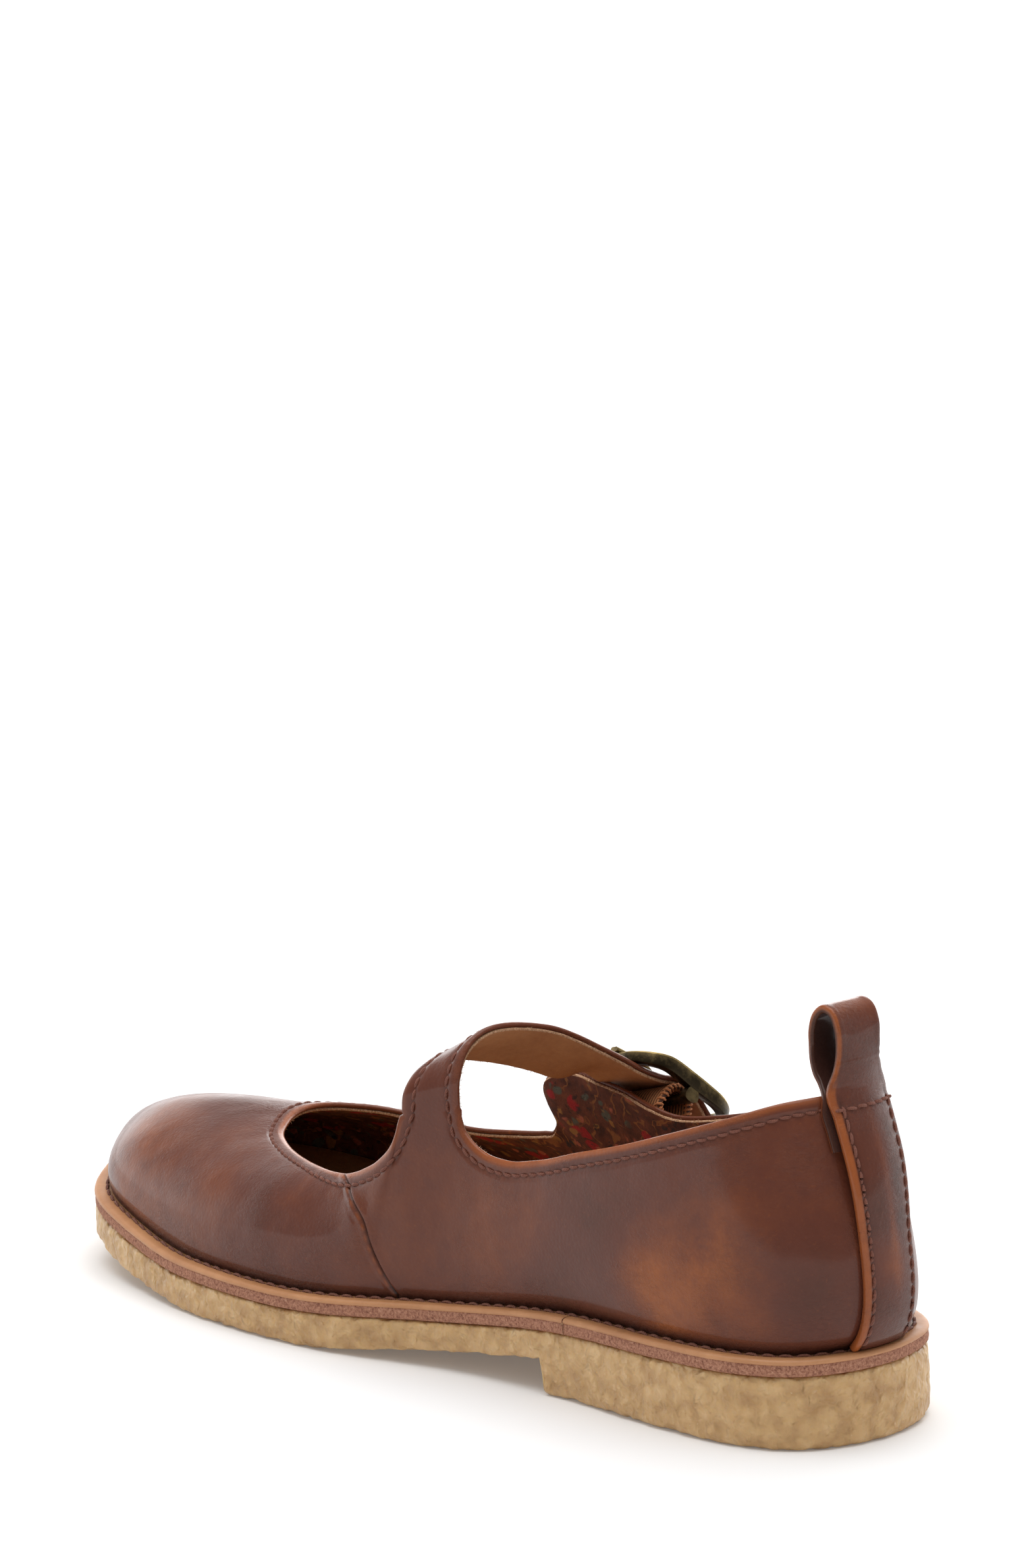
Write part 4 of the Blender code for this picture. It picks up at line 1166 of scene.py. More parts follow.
def make_upper(finishes):
    """Leather, lining and rolled edge in one shell. Returns what the stitches and fibres are placed by."""
    around, wall_points, strap = upper_outer()
    rows, count = wall_points.shape[:2]
    strap_rows, width = strap.shape[:2]
    first = rows * count
    base = np.concatenate([wall_points.reshape(-1, 3), strap.reshape(-1, 3)])
    faces = grid_faces(rows, count, wrap=True)
    wall_faces = len(faces)
    faces += [(j + 1, j, first + j, first + j + 1) for j in range(width - 1)]
    faces += flipped(grid_faces(strap_rows, width, start=first))
    faces, normals = outward(base, faces, slice(0, count * 20))

    # Directions in the surface, out over the open edge
    rim = upper_rim(count, rows, strap_rows, width)
    out = unit(np.cross(unit(np.roll(base[rim], -1, 0) - np.roll(base[rim], 1, 0)), normals[rim]))
    if np.sum(out[5] * (base[rim[5]] - base[rim[5] + count])) < 0:
        out = -out

    # Relief and colours of the leather, by the distance from its edge in millimetres
    inside = nearest_distance(base, fine(closed(base[rim] + out * EDGE_DROP), 0.0003))[0] / MM
    seam, painted_shade, tan = (np.concatenate([part, np.zeros(len(base) - first)]) for part in seam_relief(base[:first]))
    relief = np.interp(inside, *zip(*EDGE_RELIEF)) * MM
    relief += crease_relief(base) * ease(inside - 4.0, 4.0)
    relief += seam * ease(inside - 0.5, 1.0)
    relief += value_noise(base, 0.017, 1.0) * 0.10 * MM
    outer = base + normals * relief[:, None]
    edge_tan = np.interp(around, *zip(*EDGE_TAN))
    edge_tan[:width] = 0.18
    edge_tan = np.concatenate([np.tile(edge_tan, rows), np.full(strap_rows * width, 0.16)])
    tan = np.clip(ease(1.75 - inside, 0.8) * edge_tan + tan, 0.0, 1.0)
    # Painted shade: darker in the seam's groove, along the groove of the stitch row, and on the upper's foot just
    # above the welt, where the tone drops too
    low = 1.0 - ease(base[:, 2] - (seat(base[:, 0]) + WELT_THICKNESS), 0.0035)
    low[first:] = 0.0
    painted_shade = np.clip(painted_shade + 0.42 * bell(inside - STITCH_INSET / MM, 0.35) + low * 0.75, 0.0, 1.0)
    tone_and_painted_light = patches(base) - low * 0.5

    # Rolled edge: rings from the leather to the lining, whose own part is fuzzy
    size = len(base)
    rings = []
    for k, (along, depth) in enumerate(LEATHER_ROLL + LINING_ROLL):
        fuzz = value_noise(base[rim], 0.0013, depth) * (0.0 if k < len(LEATHER_ROLL) else 0.16)
        rings.append(base[rim] + out * (along + fuzz)[:, None] * MM - normals[rim] * depth * MM)
    inner = base - normals * LINING_DEPTH
    inner[rim] = rings.pop()
    turns = [rim, *(2 * size + k * len(rim) + np.arange(len(rim)) for k in range(len(rings))), rim + size]

    # Faces: 0 leather, 1 printed lining, 2 raw edge, 3 the strap's lining
    all_faces = faces + [tuple(i + size for i in face) for face in flipped(faces)]
    kinds = [0] * len(faces) + [1] * wall_faces + [3] * (len(faces) - wall_faces)
    for k, (before, after) in enumerate(zip(turns, turns[1:])):
        all_faces += ring_faces(before, after)
        kinds += [0 if k < len(LEATHER_ROLL) else 2] * len(rim)
    foot = np.arange(first - count, first)
    all_faces += ring_faces(foot + size, foot)
    kinds += [1] * count
    attributes = {
        "tone_and_painted_light": np.concatenate([tone_and_painted_light, np.zeros(size)] + [tone_and_painted_light[rim]] * len(rings)),
        "tan": np.concatenate([tan, np.zeros(size)] + [tan[rim]] * len(rings)),
        "painted_shade": np.concatenate([painted_shade, np.zeros(size + len(rings) * len(rim))]),
    }
    piece = add_mesh("upper_shell", np.concatenate([outer, inner, *rings]), all_faces, finishes, kinds, attributes)
    fix_normals(piece)
    finish_piece(piece, "leather", "upper")
    return base, normals, outer, rim, out, faces


def add_tubes(name, paths, radii, sides, finish, slot):
    """Round bars along short lists of points, closed at both ends, as one piece."""
    points, faces = [], []
    angles = np.linspace(0.0, 2 * np.pi, sides, endpoint=False)
    for path, radius in zip(np.asarray(paths, float), radii):
        tangent = unit(np.gradient(path, axis=0))
        helper = np.array([0.0, 0.0, 1.0]) if abs(tangent[0][2]) < 0.9 else np.array([1.0, 0.0, 0.0])
        first = unit(np.cross(tangent, helper))
        second = np.cross(tangent, first)
        ring = first[:, None] * np.cos(angles)[None, :, None] + second[:, None] * np.sin(angles)[None, :, None]
        start = len(points)
        points.extend((path[:, None] + ring * radius[:, None, None]).reshape(-1, 3))
        faces += flipped(grid_faces(len(path), sides, wrap=True, start=start))
        faces += end_faces(len(path), sides, start)
    finish_piece(add_mesh(name, points, faces, [finish]), slot)


def stitch_paths(line, lift, pitch, length, seed, sag=0.00022):
    """Short arcs of thread along a line of points with normals: each dips into its holes and slants a little."""
    run = lengths(line)
    count = max(1, int(run[-1] / pitch))
    rng = random.Random(seed)
    shares = np.array(STITCH_PLACES)
    height = sag * (1.0 - (np.abs(shares) * 2.0) ** 3 * 2.2)
    paths = []
    for k in range(count):
        skew = rng.uniform(-0.05, 0.05) * MM
        places = (k + 0.5) * (run[-1] / count) + shares * length
        points = along_line(places, run, line)
        normals = unit(along_line(places, run, lift))
        sides = unit(np.cross(along_line(places + 1e-4, run, line) - points, normals))
        paths.append(points + normals * height[:, None] + sides * (shares * 0.34 * MM + skew)[:, None])
    return paths


def add_stitches(name, paths, finish, slot):
    add_tubes(name, paths, [np.array(STITCH_SHAPE) * THREAD] * len(paths), 6, finish, slot)


def section_ring(half, thick, corner, columns):
    """Loop around a strip's section: across from its middle, and out from its middle layer."""
    arc = [math.radians(a) for a in (0, 22.5, 45, 67.5, 90)]
    top = [(x, thick / 2) for x in np.linspace(-half, half, columns) if abs(x) < half - corner - 1e-6]
    right = [(half - corner + corner * math.sin(a), thick / 2 - corner + corner * math.cos(a)) for a in arc]
    upper_half = [(-x, out) for x, out in reversed(right)] + top + right
    return upper_half + [(x, -out) for x, out in reversed(upper_half)]


def sheet_sampler(rows):
    """Smooth surface through a grid of points, by the distance along it and by -1 to 1 across; and its length."""
    rows = np.array(rows, float)
    run = lengths(rows[:, rows.shape[1] // 2])
    tables = [np.column_stack([run, rows[:, j]]) for j in range(rows.shape[1])]
    last = len(tables) - 1

    def sample(along, across):
        columns = np.stack([smooth_points(table, np.clip(along, 0.0, run[-1])) for table in tables], 0)
        place = (across + 1.0) / 2.0 * last
        i = np.clip(place.astype(int), 0, last - 1)
        t = np.clip(place - i, -0.2, 1.2)[..., None]

        def pick(k):
            return np.take_along_axis(columns, np.clip(k, 0, last)[None, ..., None], 0)[0]

        a, b, c, d = (pick(i + k) for k in (-1, 0, 1, 2))
        a = np.where((i > 0)[..., None], a, 2 * b - c)
        d = np.where((i + 2 <= last)[..., None], d, 2 * c - b)
        return 0.5 * (2 * b + (c - a) * t + (2 * a - 5 * b + 4 * c - d) * t**2 + (3 * b - a - 3 * c + d) * t**3)

    return sample, run[-1]


def sample_normals(sample, along, across, length):
    step = length * 1e-3
    rise = sample(along + step, across) - sample(along - step, across)
    run = sample(along, across + 0.01) - sample(along, across - 0.01)
    return unit(np.cross(rise, run))


def strip(sheet, width, thick, corner, count, columns, shape=None):
    """Closed strip with rounded edges around a sheet; shape gives what it stands proud."""
    sample, length = sheet
    ring = np.array(section_ring(width / 2, thick, corner, columns))
    along = np.repeat(np.linspace(0.0, length, count)[:, None], len(ring), 1)
    across = np.repeat(ring[None, :, 0] / (width / 2), count, 0)
    out = np.repeat(ring[None, :, 1], count, 0)
    normals = sample_normals(sample, np.clip(along, length * 2e-3, length * (1 - 2e-3)), across, length)
    proud = shape(along, across, out) if shape else 0.0
    solid = sample(along, across) + normals * (out + proud)[..., None]
    faces = grid_faces(count, len(ring), wrap=True) + end_faces(count, len(ring))
    return solid.reshape(-1, 3), faces, along, across, out


def backstay_rows():
    """Rows across the heel strip, the pull loop and the leg behind the strip, and the number of the collar's row."""
    columns = (-1.0, -0.5, 0.0, 0.5, 1.0)
    half = BACKSTAY_WIDTH / 2
    near = GAP + RIBBON / 2
    far = near + GAP + RIBBON

    def on_wall(share, lift, shift=0.0):
        return [off_wall(place_at_side(side * half + shift, share), share, lift) for side in columns]

    rows, steps = [], 12
    for i in range(steps + 1):
        share = BACKSTAY_FOOT + (1.0 - BACKSTAY_FOOT) * i / steps
        rise = min(1.0, max(0.0, (share - 1.0 + 3.0 * LOOP_TUCK) / (1.85 * LOOP_TUCK)))
        rows.append(on_wall(share, near + (far - near) * rise * rise * (3.0 - 2.0 * rise)))
    base = rows[-1]
    centre = base[2]
    for forward, up in LOOP:
        width = 1.0 + (LOOP_WIDTH / BACKSTAY_WIDTH - 1.0) * min(1.0, up * 2.0)
        flat = min(1.0, up * 1.4)
        rows.append([
            (
                centre[0] + forward * LOOP_DEPTH + (start[0] - centre[0]) * (1.0 - flat),
                side * half * width,
                centre[2] + up * LOOP_HEIGHT,
            )
            for side, start in zip(columns, base)
        ])
    rows.append([point + np.array((0.0, LEG_SHIFT * 0.4, 0.0)) for point in on_wall(1.0, near)])
    rows += [on_wall(1.0 - LOOP_TUCK * k / 3, near, LEG_SHIFT) for k in (1, 2, 3)]
    return rows, steps


def make_backstay(finish):
    """Heel strip and pull loop in one, with rounded edges, creases and a bare tan edge on the inner side."""
    rows, steps = backstay_rows()
    sheet = sheet_sampler(rows)
    collar = lengths([row[2] for row in rows])[steps]
    half = BACKSTAY_WIDTH / 2

    def seam_of(across):
        """Distance inside the edge, and inside the row of stitches, in millimetres."""
        edge_in = (1.0 - np.abs(across)) * half / MM
        return edge_in, edge_in - np.where(across > 0, *STRIP_SEAM)

    def shape(along, across, out):
        edge_in, from_seam = seam_of(across)
        past = (along - collar) / MM
        groove = -0.20 * bell(from_seam, 0.40) * ease(collar - along, 0.004)
        bead = 0.10 * bell(edge_in - 1.4, 0.8)
        ripple = np.sin(past * 2.3 + across * 1.1 + np.sin(past * 0.9) * 1.2) * bell(past - 5.0, 3.2)
        waist = -0.5 * bell(along - collar + 0.003, 0.0012)
        return ease(out, RIBBON / 2) * (groove + bead + ripple * 0.10 + waist * 0.5) * MM

    solid, faces, along, across, out = strip(sheet, BACKSTAY_WIDTH, RIBBON, 0.00055, 300, 41, shape)
    along, across, out = (values.ravel() for values in (along, across, out))
    edge_in, from_seam = seam_of(across)
    on_loop = ease(along - collar, 0.003)
    bare_side = 1.0 - ease(np.abs(out), RIBBON / 2 * 0.75)
    bare_rim = ease(0.55 - edge_in, 0.3) * 0.7
    bare_band = (across > 0) * (out > 0) * ease(1.55 - edge_in, 0.4) * (1.0 - on_loop)
    bare_loop = (across > 0) * ease(0.9 - edge_in, 0.4) * on_loop
    top = along.max() - (along.max() - collar) * 0.52
    tan = np.max([bare_side, bare_rim, bare_band, bare_loop], 0) * (1.0 - 0.60 * ease(along - top, 0.006))
    # Painted shade in the stitch grooves of the heel strip and on the inner face of the pull loop
    groove = bell(from_seam, 0.40) * ease(collar - along, 0.003) * (out > 0)
    painted_shade = np.clip(groove * 0.5 + (out < 0) * on_loop * 0.85, 0.0, 1.0)
    # Painted highlight: the tone rises along the top ridge of the pull loop
    ridge = bell(along - collar - 0.019, 0.004) * 0.9
    sheen = bell(along - collar * 0.55, 0.014) * bell(across + 0.2, 0.4) * 0.15
    # Painted highlight: a warm stripe down the heel strip, with a stripe of painted shade beside it
    share = along / collar
    drift = across - (-0.05 + 0.25 * (share - 0.5))
    painted_highlight_and_shade = (0.75 * bell(drift, 0.16) - 0.45 * bell(drift + 0.42, 0.20)) * bell(share - 0.56, 0.30)
    tone_and_painted_light = patches(solid) - 0.35 + ridge + painted_highlight_and_shade - sheen
    piece = add_mesh("backstay_strip", solid, faces, [finish], None, {"tone_and_painted_light": tone_and_painted_light, "tan": tan, "painted_shade": painted_shade})
    finish_piece(piece, "leather", "backstay")
    return sheet, collar, solid, faces


def make_welt(finishes):
    """Welt: tan top with rounded edge, fibrous cut side and a butt joint."""
    count = 620
    joint = GAP / 2 / SOLE_LENGTH / 2.5
    around = np.linspace(WELT_JOINT + joint, WELT_JOINT + 1.0 - joint, count)
    edge_points, normals = edge_frame(around)
    base = seat(edge_points[:, 0]) + GAP
    inset, up, cut = np.array(WELT_PROFILE).T
    ring = len(inset)
    points = np.stack([contour(around, i * MM, base + u * MM) for i, u in zip(inset, up)], 1)
    flat = points.reshape(-1, 3)
    rough, wave = (
        sum(value_noise(flat, scale, seed) * amount for scale, seed, amount in layers).reshape(count, ring)
        for layers in (((0.0011, 3.0, 0.10), (0.0045, 4.0, 0.12)), ((0.020, 5.0, 0.12),))
    )
    amount = np.where(cut > 0, 1.0, 0.35) * (inset <= 3.0) * MM
    points = points + normals[:, None, :] * (rough * amount)[..., None]
    points[..., 2] += wave * (cut == 0) * amount
    faces = grid_faces(count, ring, wrap=True) + end_faces(count, ring)
    kinds = np.append(np.tile((cut > 0) & (np.roll(cut, -1) > 0), count - 1), (True, True))
    # Painted shade along the welt's groove, where the upper meets the welt
    painted_shade = np.tile(bell(inset - 3.5, 0.45) * np.where(cut > 0, 0.0, 0.75), count)
    piece = add_mesh("welt_strip", points.reshape(-1, 3), faces, finishes, kinds, {"painted_shade": painted_shade}, 50.0)
    fix_normals(piece)
    finish_piece(piece, "welt_leather", "welt")


def make_outsole(finish):
    """Crepe sole with a lumpy side and underside."""
    half_count = 430
    places = np.linspace(0.0, 0.5, half_count + 1)
    rear, front = (around_of(x / SOLE_LENGTH) for x in (BREAST_PLACE - BREAST_SLOPE, BREAST_PLACE))
    breast = np.array([rear - 0.0012, rear, (rear + front) / 2, front, front + 0.0012])
    free = np.min(np.abs(places[:, None] - breast[None]), 1) > 0.0007
    places = np.sort(np.concatenate([places[free], breast]))
    around = np.concatenate([places, 1.0 - places[1:-1][::-1]])
    count = len(around)
    x = edge_frame(around)[0][:, 0]
    low, high = tread(x), seat(x)

    # Rings: in on the top face, down the side with rounded corners, then in to the middle of the underside
    ups = [0.0, 0.02, 0.05, 0.09, *np.linspace(0.14, 0.86, 17), 0.91, 0.95, 0.98, 1.0]
    pulls = [1.5, 0.75, 0.28, 0.05] + [0.0] * 17 + [0.05, 0.15, 0.40, 0.9]
    rows = [contour(around, inset * MM, high) for inset in (12.5, 5.0, 2.4)]
    for up, pull in list(zip(ups, pulls))[::-1]:
        rows.append(contour(around, float(level(SOLE_SIDE, up)) * 0.5 + pull * MM * 0.55, low + (high - low) * up))
    rows += to_middle(contour(around, 2.6 * MM, low), np.linspace(0.0, 1.0, 13))
    flat = np.concatenate(rows)
    ceiling, floor_line = np.tile(high, len(rows)), np.tile(low, len(rows))
    side = slice(10 * count, 12 * count)
    faces, normals = outward(flat, grid_faces(len(rows), count, wrap=True), side)

    # Lumps, none on the top face and less at its edge
    ridge = 0.25 - np.abs(value_noise(flat, 0.0030, 9.0))
    lumps = sum(
        value_noise(flat, scale, seed) * share
        for scale, seed, share in ((0.0040, 6.0, 0.75), (0.0021, 7.0, 0.80), (0.0095, 8.0, 0.35))
    )
    amount = np.full(len(flat), 0.36)
    amount[: 3 * count] = 0.0
    amount[3 * count : 5 * count] *= 0.6
    moved = flat + normals * ((lumps + ridge * 0.9) * amount * MM)[:, None]
    ceiling[3 * count :] += 0.00022
    moved[:, 2] = np.clip(moved[:, 2], floor_line, ceiling)
    piece = add_mesh("crepe_sole", moved, faces, [finish], sharp=70.0)
    fix_normals(piece, count)
    finish_piece(piece, "crepe", "outsole")


def make_footbed(finish):
    """Footbed from wall to wall, with a soft rounded rim and a shallow hollow."""
    count = 220
    around = np.arange(count) / count
    height = seat(edge_frame(around)[0][:, 0])
    plug = WELT_WIDTH + INSOLE_GAP
    board = FEATHER_INSET + UPPER_WALL + 0.0006
    base = WELT_THICKNESS + 2 * GAP + INSOLE_LIFT
    top = base + INSOLE_HEIGHT
    profile = (
        # inset, height over the seat
        (plug, GAP),
        (plug, base),
        (board, base),
        (board, top - 0.0010),
        (board + 0.0003, top - 0.0003),
        (board + 0.0010, top),
    )
    rows = [contour(around, inset, height + up) for inset, up in profile]
    shares = np.linspace(0.0, 1.0, 15)[1:]
    for t, line in zip(shares, to_middle(rows[-1], shares)):
        line[:, 2] = seat(line[:, 0]) + top - 0.0009 * t * (2 - t)
        rows.append(line)
    faces = grid_faces(len(rows), count, wrap=True)
    piece = add_mesh("footbed_board", np.concatenate(rows), faces, [finish], sharp=50.0)
    fix_normals(piece, count)
    finish_piece(piece, "footbed", "insole")


def frame_line(count):
    """Middle line of the buckle's frame, evenly spaced: across, down, and the direction away from its hole."""
    middles = np.array([BUCKLE_WIDTH - BUCKLE_BAR, BUCKLE_LENGTH - BUCKLE_BAR]) / 2 - BUCKLE_CORNER
    corners = []
    for turn, signs in enumerate(((1, 1), (-1, 1), (-1, -1), (1, -1))):
        angles = np.linspace(math.pi / 2 * turn, math.pi / 2 * (turn + 1), 60)
        corners.append(middles * signs + BUCKLE_CORNER * np.stack([np.cos(angles), np.sin(angles)], -1))
    line = fine(closed(np.concatenate(corners)), 0.0001)
    line = along_line(np.linspace(0, len(line) - 1, count, endpoint=False), np.arange(len(line)), line)
    tangent = unit(np.roll(line, -1, 0) - np.roll(line, 1, 0))
    return line, np.stack([tangent[:, 1], -tangent[:, 0]], -1)


def centre_bar():
    """Points of the centre bar with a lug at both ends, and the numbers of its rows and columns."""
    reach = (BUCKLE_WIDTH - BUCKLE_BAR) / 2
    lug_top = float(level(FRAME_ARCH, 0.0)) - BUCKLE_DEPTH / 2 + LUG_OVERLAP
    bar = np.linspace(-reach + 0.0016, reach - 0.0016, 12)
    places = [-reach - 0.0012, -reach + 0.0010, *bar, reach - 0.0010, reach + 0.0012]
    points = []
    for across in places:
        lug = abs(across) > reach - 0.0013
        half, top = (LUG_HALF, lug_top) if lug else (CENTRE_BAR_RADIUS, CENTRE_BAR_RADIUS)
        for degrees in range(0, 360, 18):
            angle = math.radians(degrees)
            high = math.sin(angle) * (top if degrees < 180 else CENTRE_BAR_RADIUS)
            points.append(buckle_point(across, math.cos(angle) * half, high))
    return points, len(places), 20


def make_buckle_frame(finish):
    """Cast frame with two fine lines along its face, and its centre bar on two lugs."""
    count = 180
    line, away = frame_line(count)
    share = line[:, 1] / ((BUCKLE_LENGTH - BUCKLE_BAR) / 2)
    middle, deep = level(FRAME_ARCH, share), BUCKLE_DEPTH / 2 * level(FRAME_ARCH, share, 2)
    rings = []
    for wide, high, _ in FRAME_SECTION:
        across, down = (line + away * wide * BUCKLE_BAR / 2).T
        rings.append(buckle_point(across, down, middle + deep * high))
    points = np.stack(rings, 1).reshape(-1, 3)
    faces = grid_faces(count, len(rings), wrap=True, joined=True)
    bar, rows, columns = centre_bar()
    faces += grid_faces(rows, columns, wrap=True, start=len(points)) + end_faces(rows, columns, len(points))
    rub = np.concatenate([np.tile(column(FRAME_SECTION, 2), count), np.full(len(bar), 0.35)])
    piece = add_mesh("buckle_ring", np.concatenate([points, bar]), faces, [finish], None, {"rub": rub}, 32.0)
    fix_normals(piece)
    finish_piece(piece, "brass", "buckle_frame")


def make_prong(finish):
    """Prong with rounded edges, curled round the centre bar."""
    curl = CENTRE_BAR_RADIUS + GAP + PRONG_THICKNESS / 2
    long = (BUCKLE_LENGTH - BUCKLE_BAR) / 2
    rest = level(FRAME_ARCH, -1.0) + BUCKLE_DEPTH / 2 * level(FRAME_ARCH, -1.0, 2) + GAP + PRONG_THICKNESS / 2
    path = [(curl * math.cos(math.radians(d)), curl * math.sin(math.radians(d))) for d in range(165, 451, 13)]
    path += [*PRONG_PATH, (-long * 0.72, rest - 0.0002), (-long, rest), (-long - PRONG_OVERHANG, rest)]
    half = PRONG_WIDTH / 2
    sheet = sheet_sampler([[buckle_point(a, down, out) for a in (-half, 0.0, half)] for down, out in path])
    solid, faces, *_ = strip(sheet, PRONG_WIDTH, PRONG_THICKNESS, 0.00045, 90, 9)
    piece = add_mesh("buckle_tongue", solid, faces, [finish], None, {"rub": np.full(len(solid), 0.55)}, 75.0)
    fix_normals(piece)
    finish_piece(piece, "brass", "buckle_prong")


def elastic_rows():
    """Rows across the elastic from its inner leg, round the centre bar, to its outer leg."""
    lift = GAP + ELASTIC_THICKNESS / 2
    columns = []
    for across in (share * ELASTIC_WIDTH for share in (-0.5, -0.25, 0.0, 0.25, 0.5)):
        bar = buckle_point(across, 0.0, 0.0)
        inner, outer = (
            [off_wall(*quarter_place(bar[0], bar[2] - down), lift) for down in leg]
            for leg in (ELASTIC_INNER, ELASTIC_OUTER)
        )
        turn = [buckle_point(across, down, out) for down, out in ELASTIC_TURN]
        columns.append(inner + turn + outer)
    return list(zip(*columns))


def make_elastic(finish, bead_finish):
    """Ribbed elastic band round the centre bar, with looped thread along both edges."""
    sheet = sheet_sampler(elastic_rows())

    def ribs(across):
        return np.cos(across / 2 * 2 * ELASTIC_RIBS * math.pi)

    def shape(along, across, out):
        return np.sign(out) * (ribs(across) * 0.00013) * (np.abs(out) > ELASTIC_THICKNESS * 0.3)

    solid, faces, _, across, _ = strip(sheet, ELASTIC_WIDTH, ELASTIC_THICKNESS, 0.0003, 120, 103, shape)
    rib = 0.5 + 0.5 * ribs(across.ravel())
    piece = add_mesh("elastic_band", solid, faces, [finish], None, {"rib": rib}, 75.0)
    fix_normals(piece)
    finish_piece(piece, "elastic", "elastic_loop")
    sample, length = sheet
    count = int(length / ELASTIC_LOOP_PITCH)
    lift, reach = np.array(((0.70, 0.82, 0.0, -0.82, -0.70), (1.00, 0.15, -0.40, 0.15, 1.00)))[..., None] * MM
    paths = []
    for side in (np.full(5, -1.0), np.full(5, 1.0)):
        for k in range(count):
            near = (k + 0.5) / count * length + np.array([-0.38, -0.25, 0.0, 0.25, 0.38]) * MM
            near = np.clip(near, 1e-4, length - 1e-4)
            spots = sample(near, side)
            inward = unit(sample(near, side * 0.9) - spots)
            paths.append(spots + sample_normals(sample, near, side, length) * lift + inward * reach)
    radii = [np.array((0.7, 1.0, 1.1, 1.0, 0.7)) * 0.00030] * len(paths)
    add_tubes("elastic_edge_loops", paths, radii, 6, bead_finish, "elastic")


def surface_tree(points, faces):
    return bvhtree.BVHTree.FromPolygons([Vector(p) for p in points], [tuple(int(i) for i in f) for f in faces])


def averaged(values, reach=6):
    """Running mean of the rows of a closed line."""
    padded = np.pad(values, ((reach, reach), (0, 0)), mode="wrap")
    window = np.ones(2 * reach + 1) / (2 * reach + 1)
    return np.stack([np.convolve(row, window, "valid") for row in padded.T], -1)


def make_upper_stitches(shell, backstay, finish):
    """Row of stitches inside the open edge, over the heel strip too, and a row inside each edge of that strip."""
    base, _, outer, rim, out, faces = shell
    (sample, length), collar, strip_points, strip_faces = backstay
    tree = surface_tree(outer, faces)
    over = surface_tree(strip_points, strip_faces)
    line = fine(closed(base[rim] - out * (STITCH_INSET - EDGE_DROP)), 0.0004)
    found = [tree.find_nearest(Vector(point)) for point in line]
    spots = averaged(np.array([np.array(where) for where, *_ in found]))
    lifts = unit(averaged(unit(np.array([np.array(normal) for _, normal, *_ in found]))))
    at_heel = (np.abs(spots[:, 1]) < 0.0078) & (spots[:, 0] < 0.030)
    for i in np.nonzero(at_heel)[0]:
        where, normal, *_ = over.ray_cast(Vector(spots[i] + lifts[i] * 0.012), -Vector(lifts[i]), 0.02)
        if where is not None:
            spots[i] = where
            lifts[i] = np.array(normal) * (1.0 if np.dot(normal, lifts[i]) > 0 else -1.0)
    paths = stitch_paths(spots, lifts, STITCH_PITCH, STITCH_LENGTH, 3)
    along = np.linspace(0.0015, collar - 0.0035, 160)
    for side, inset in zip((-1.0, 1.0), STRIP_SEAM[::-1]):
        across = np.full(len(along), side * (1.0 - inset * MM / (BACKSTAY_WIDTH / 2)))
        lift = sample_normals(sample, along, across, length)
        middle = sample(along, across) + lift * (RIBBON / 2 - 0.0001)
        paths += stitch_paths(middle, lift, STITCH_PITCH, STITCH_LENGTH, 4 + side)
    add_stitches("upper_stitches", paths, finish, "leather")


def make_welt_stitches(finish):
    """Row of long stitches on the welt, close to the upper."""
    around = np.linspace(0.0, 1.0, 3000)
    line = contour(around, 0.0031, seat(edge_frame(around)[0][:, 0]) + GAP + WELT_THICKNESS * 0.97)
    up = np.tile(np.array([0.0, 0.0, 1.0]), (len(line), 1))
    add_stitches("welt_stitches", stitch_paths(line, up, 0.0041, 0.0040, 8, 0.0003), finish, "welt_leather")


def make_lining_fibres(shell, finish):
    """Short fibres along the cut edge of the lining."""
    base, normals, _, rim, out, _ = shell
    depth = -normals[rim]
    line = base[rim] - out * 0.00020 + depth * 0.00150
    steps = np.diff(closed(line), axis=0)
    rng = random.Random(21)
    paths = []
    for i, step in enumerate(steps):
        for _ in range(max(1, int(np.linalg.norm(step) / 0.00042))):
            start = line[i] + step * rng.random() + depth[i] * rng.uniform(-0.00025, 0.00030)
            heading = out[i] * rng.uniform(0.3, 1.0) + depth[i] * rng.uniform(-0.3, 0.8)
            heading = unit(heading + unit(step) * rng.uniform(-1.2, 1.2))
            long = rng.uniform(0.00025, 0.00085)
            bend = unit(np.array([rng.uniform(-1, 1) for _ in range(3)])) * long * 0.35
            paths.append([start, start + heading * long * 0.5 + bend * 0.5, start + heading * long])
    radii = [np.array((1.0, 0.7, 0.2)) * rng.uniform(0.00004, 0.00008) for _ in paths]
    add_tubes("lining_fibres", paths, radii, 3, finish, "leather")


def make_joint_fibres(finish):
    """Fibres that stand out of the welt's butt joint."""
    point, normal = (values[0] for values in edge_frame(np.array([WELT_JOINT])))
    point[2] = seat(point[0]) + GAP
    rng = random.Random(5)
    paths = []
    for _ in range(26):
        up = rng.uniform(0.0003, 0.0041)
        start = point + np.array([rng.uniform(-0.0004, 0.0004), 0.0, up]) - normal * rng.uniform(0.0, 0.0006)
        away = normal * rng.uniform(0.2, 1.0)
        heading = unit(away + np.array([rng.uniform(-1, 1), 0.0, rng.uniform(-0.6, 1.0)]))
        long = rng.uniform(0.0004, 0.0014)
        paths.append([start, start + heading * long * 0.5, start + heading * long + np.array([0, 0, -0.2 * long])])
    radii = [np.array((1.0, 0.8, 0.3)) * 0.00008] * len(paths)
    add_tubes("welt_joint_fibres", paths, radii, 3, finish, "welt_leather")


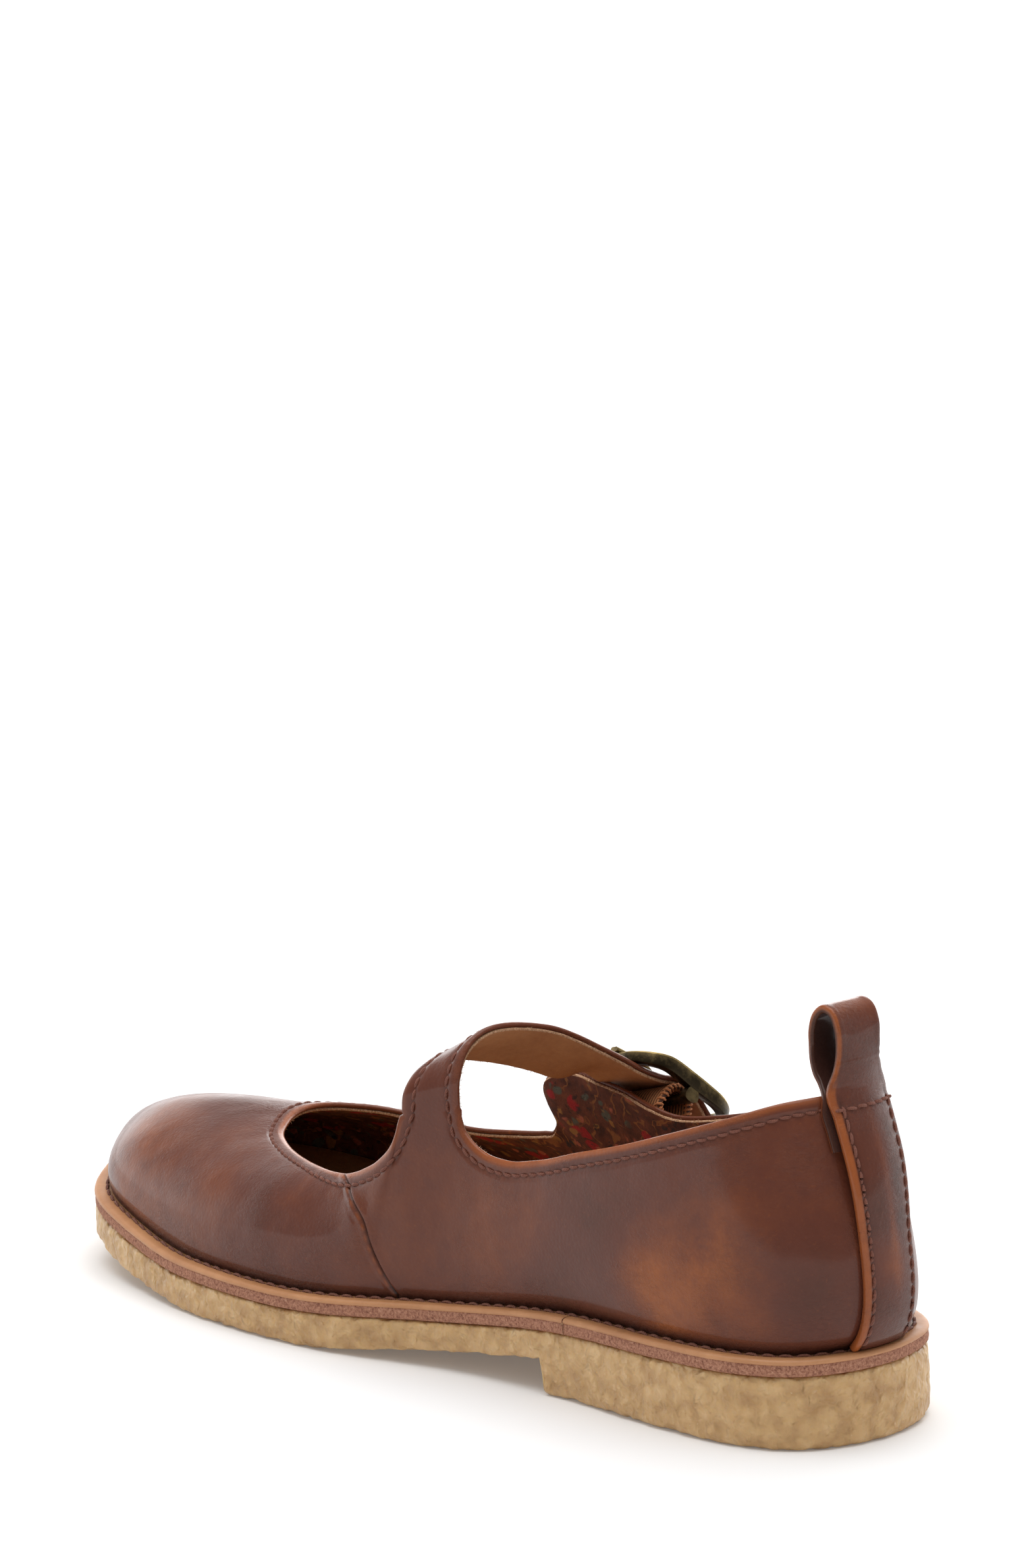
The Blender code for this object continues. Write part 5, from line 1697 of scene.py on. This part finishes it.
def make_floor():
    """White floor that glows a little more away from the shoe."""
    size = 6.0
    mesh = bpy.data.meshes.new("floor")
    corners = [(x, y, -0.0001) for x, y in ((-size, -size), (size, -size), (size, size), (-size, size))]
    mesh.from_pydata(corners, [], [(0, 1, 2, 3)])
    s = Shader("floor_white")
    distance = s.add("ShaderNodeVectorMath", {0: s.place}, operation="LENGTH").outputs["Value"]
    s.set(
        Base_Color=(0.80, 0.80, 0.80, 1.0),
        Roughness=0.9,
        Emission_Color=(1.0, 1.0, 1.0, 1.0),
        Emission_Strength=s.span(distance, 0.25, 1.40, *FLOOR_GLOW),
    )
    mesh.materials.append(s.material)
    floor = bpy.data.objects.new("floor", mesh)
    bpy.context.collection.objects.link(floor)


def make_world():
    """Studio surround: brighter above and on the far side, where the leather mirrors it."""
    world = bpy.data.worlds.new("studio")
    world.use_nodes = True
    n = Nodes(world.node_tree, "Generated")
    height = n.add("ShaderNodeSeparateXYZ", {0: n.place}).outputs["Z"]
    far = (0.754, -0.656, 0.0)
    away = n.add("ShaderNodeVectorMath", {0: n.place, 1: far}, operation="DOT_PRODUCT").outputs["Value"]
    low_band = n.span(height, 0.10, 0.42, 1.0, 0.0)
    far_side = n.span(away, 0.00, 0.75, 0.03, 2.20)
    near_side = n.span(away, -0.90, 0.30, 0.27, 0.46)
    top = n.span(height, 0.45, 0.95, 0.0, 0.45)
    sky = world.node_tree.nodes["Background"]
    sky.inputs["Color"].default_value = (1.0, 1.0, 1.0, 1.0)
    n.feed(sky.inputs["Strength"], n.plus(n.times(low_band, far_side), n.plus(near_side, top)))
    bpy.context.scene.world = world


def area_light(name, place, target, size, power):
    data = bpy.data.lights.new(name, "AREA")
    data.shape = "RECTANGLE"
    data.size, data.size_y = size
    data.energy = power
    lamp = bpy.data.objects.new(name, data)
    lamp.location = place
    lamp.rotation_euler = (Vector(target) - Vector(place)).to_track_quat("-Z", "Y").to_euler()
    bpy.context.collection.objects.link(lamp)


def make_camera():
    """Camera on the inner side behind the heel, solved from the photograph."""
    turn, rise, roll = (math.radians(v) for v in (48.97, 11.65, -1.85))
    back = Vector((-math.sin(turn) * math.cos(rise), math.cos(turn) * math.cos(rise), math.sin(rise)))
    right = (-back).cross(Vector((0.0, 0.0, 1.0))).normalized()
    up = right.cross(-back)
    c, s = math.cos(roll), math.sin(roll)
    right, up = right * c + up * s, up * c - right * s
    data = bpy.data.cameras.new("camera")
    data.sensor_width = 36.0
    data.lens = 158.94
    data.clip_start, data.clip_end = 0.05, 50.0
    camera = bpy.data.objects.new("camera", data)
    turned = Matrix((right, up, back)).transposed().to_4x4()
    camera.matrix_world = Matrix.Translation((-1.11223, 1.04472, 0.46272)) @ turned
    bpy.context.collection.objects.link(camera)
    bpy.context.scene.camera = camera


def make_studio():
    bpy.context.scene.view_settings.view_transform = "Standard"
    make_camera()
    make_floor()
    make_world()
    for light in LIGHTS:
        area_light(*light)


def make_shoe():
    skin, raw, metal = leather(), raw_edge(), brass()
    strap_lining = plain_leather("strap_lining_leather", (0.340, 0.145, 0.060), (0.450, 0.215, 0.095), 0.62)
    welt_top = plain_leather("welt_top", (0.420, 0.185, 0.075), (0.540, 0.260, 0.115), 0.48, 300.0, 0.12)
    shell = make_upper((skin, print_lining(), raw, strap_lining))
    backstay = make_backstay(skin)
    make_welt((welt_top, fibre_edge()))
    make_outsole(crepe())
    make_footbed(plain_leather("footbed_leather", (0.430, 0.205, 0.072), (0.540, 0.285, 0.110), 0.6))
    make_buckle_frame(metal)
    make_prong(metal)
    make_elastic(ribbed(), thread("elastic_thread", (0.300, 0.105, 0.035)))
    make_upper_stitches(shell, backstay, thread())
    make_welt_stitches(thread("welt_thread", (0.110, 0.040, 0.024)))
    make_lining_fibres(shell, raw)
    make_joint_fibres(raw)


make_studio()
make_shoe()
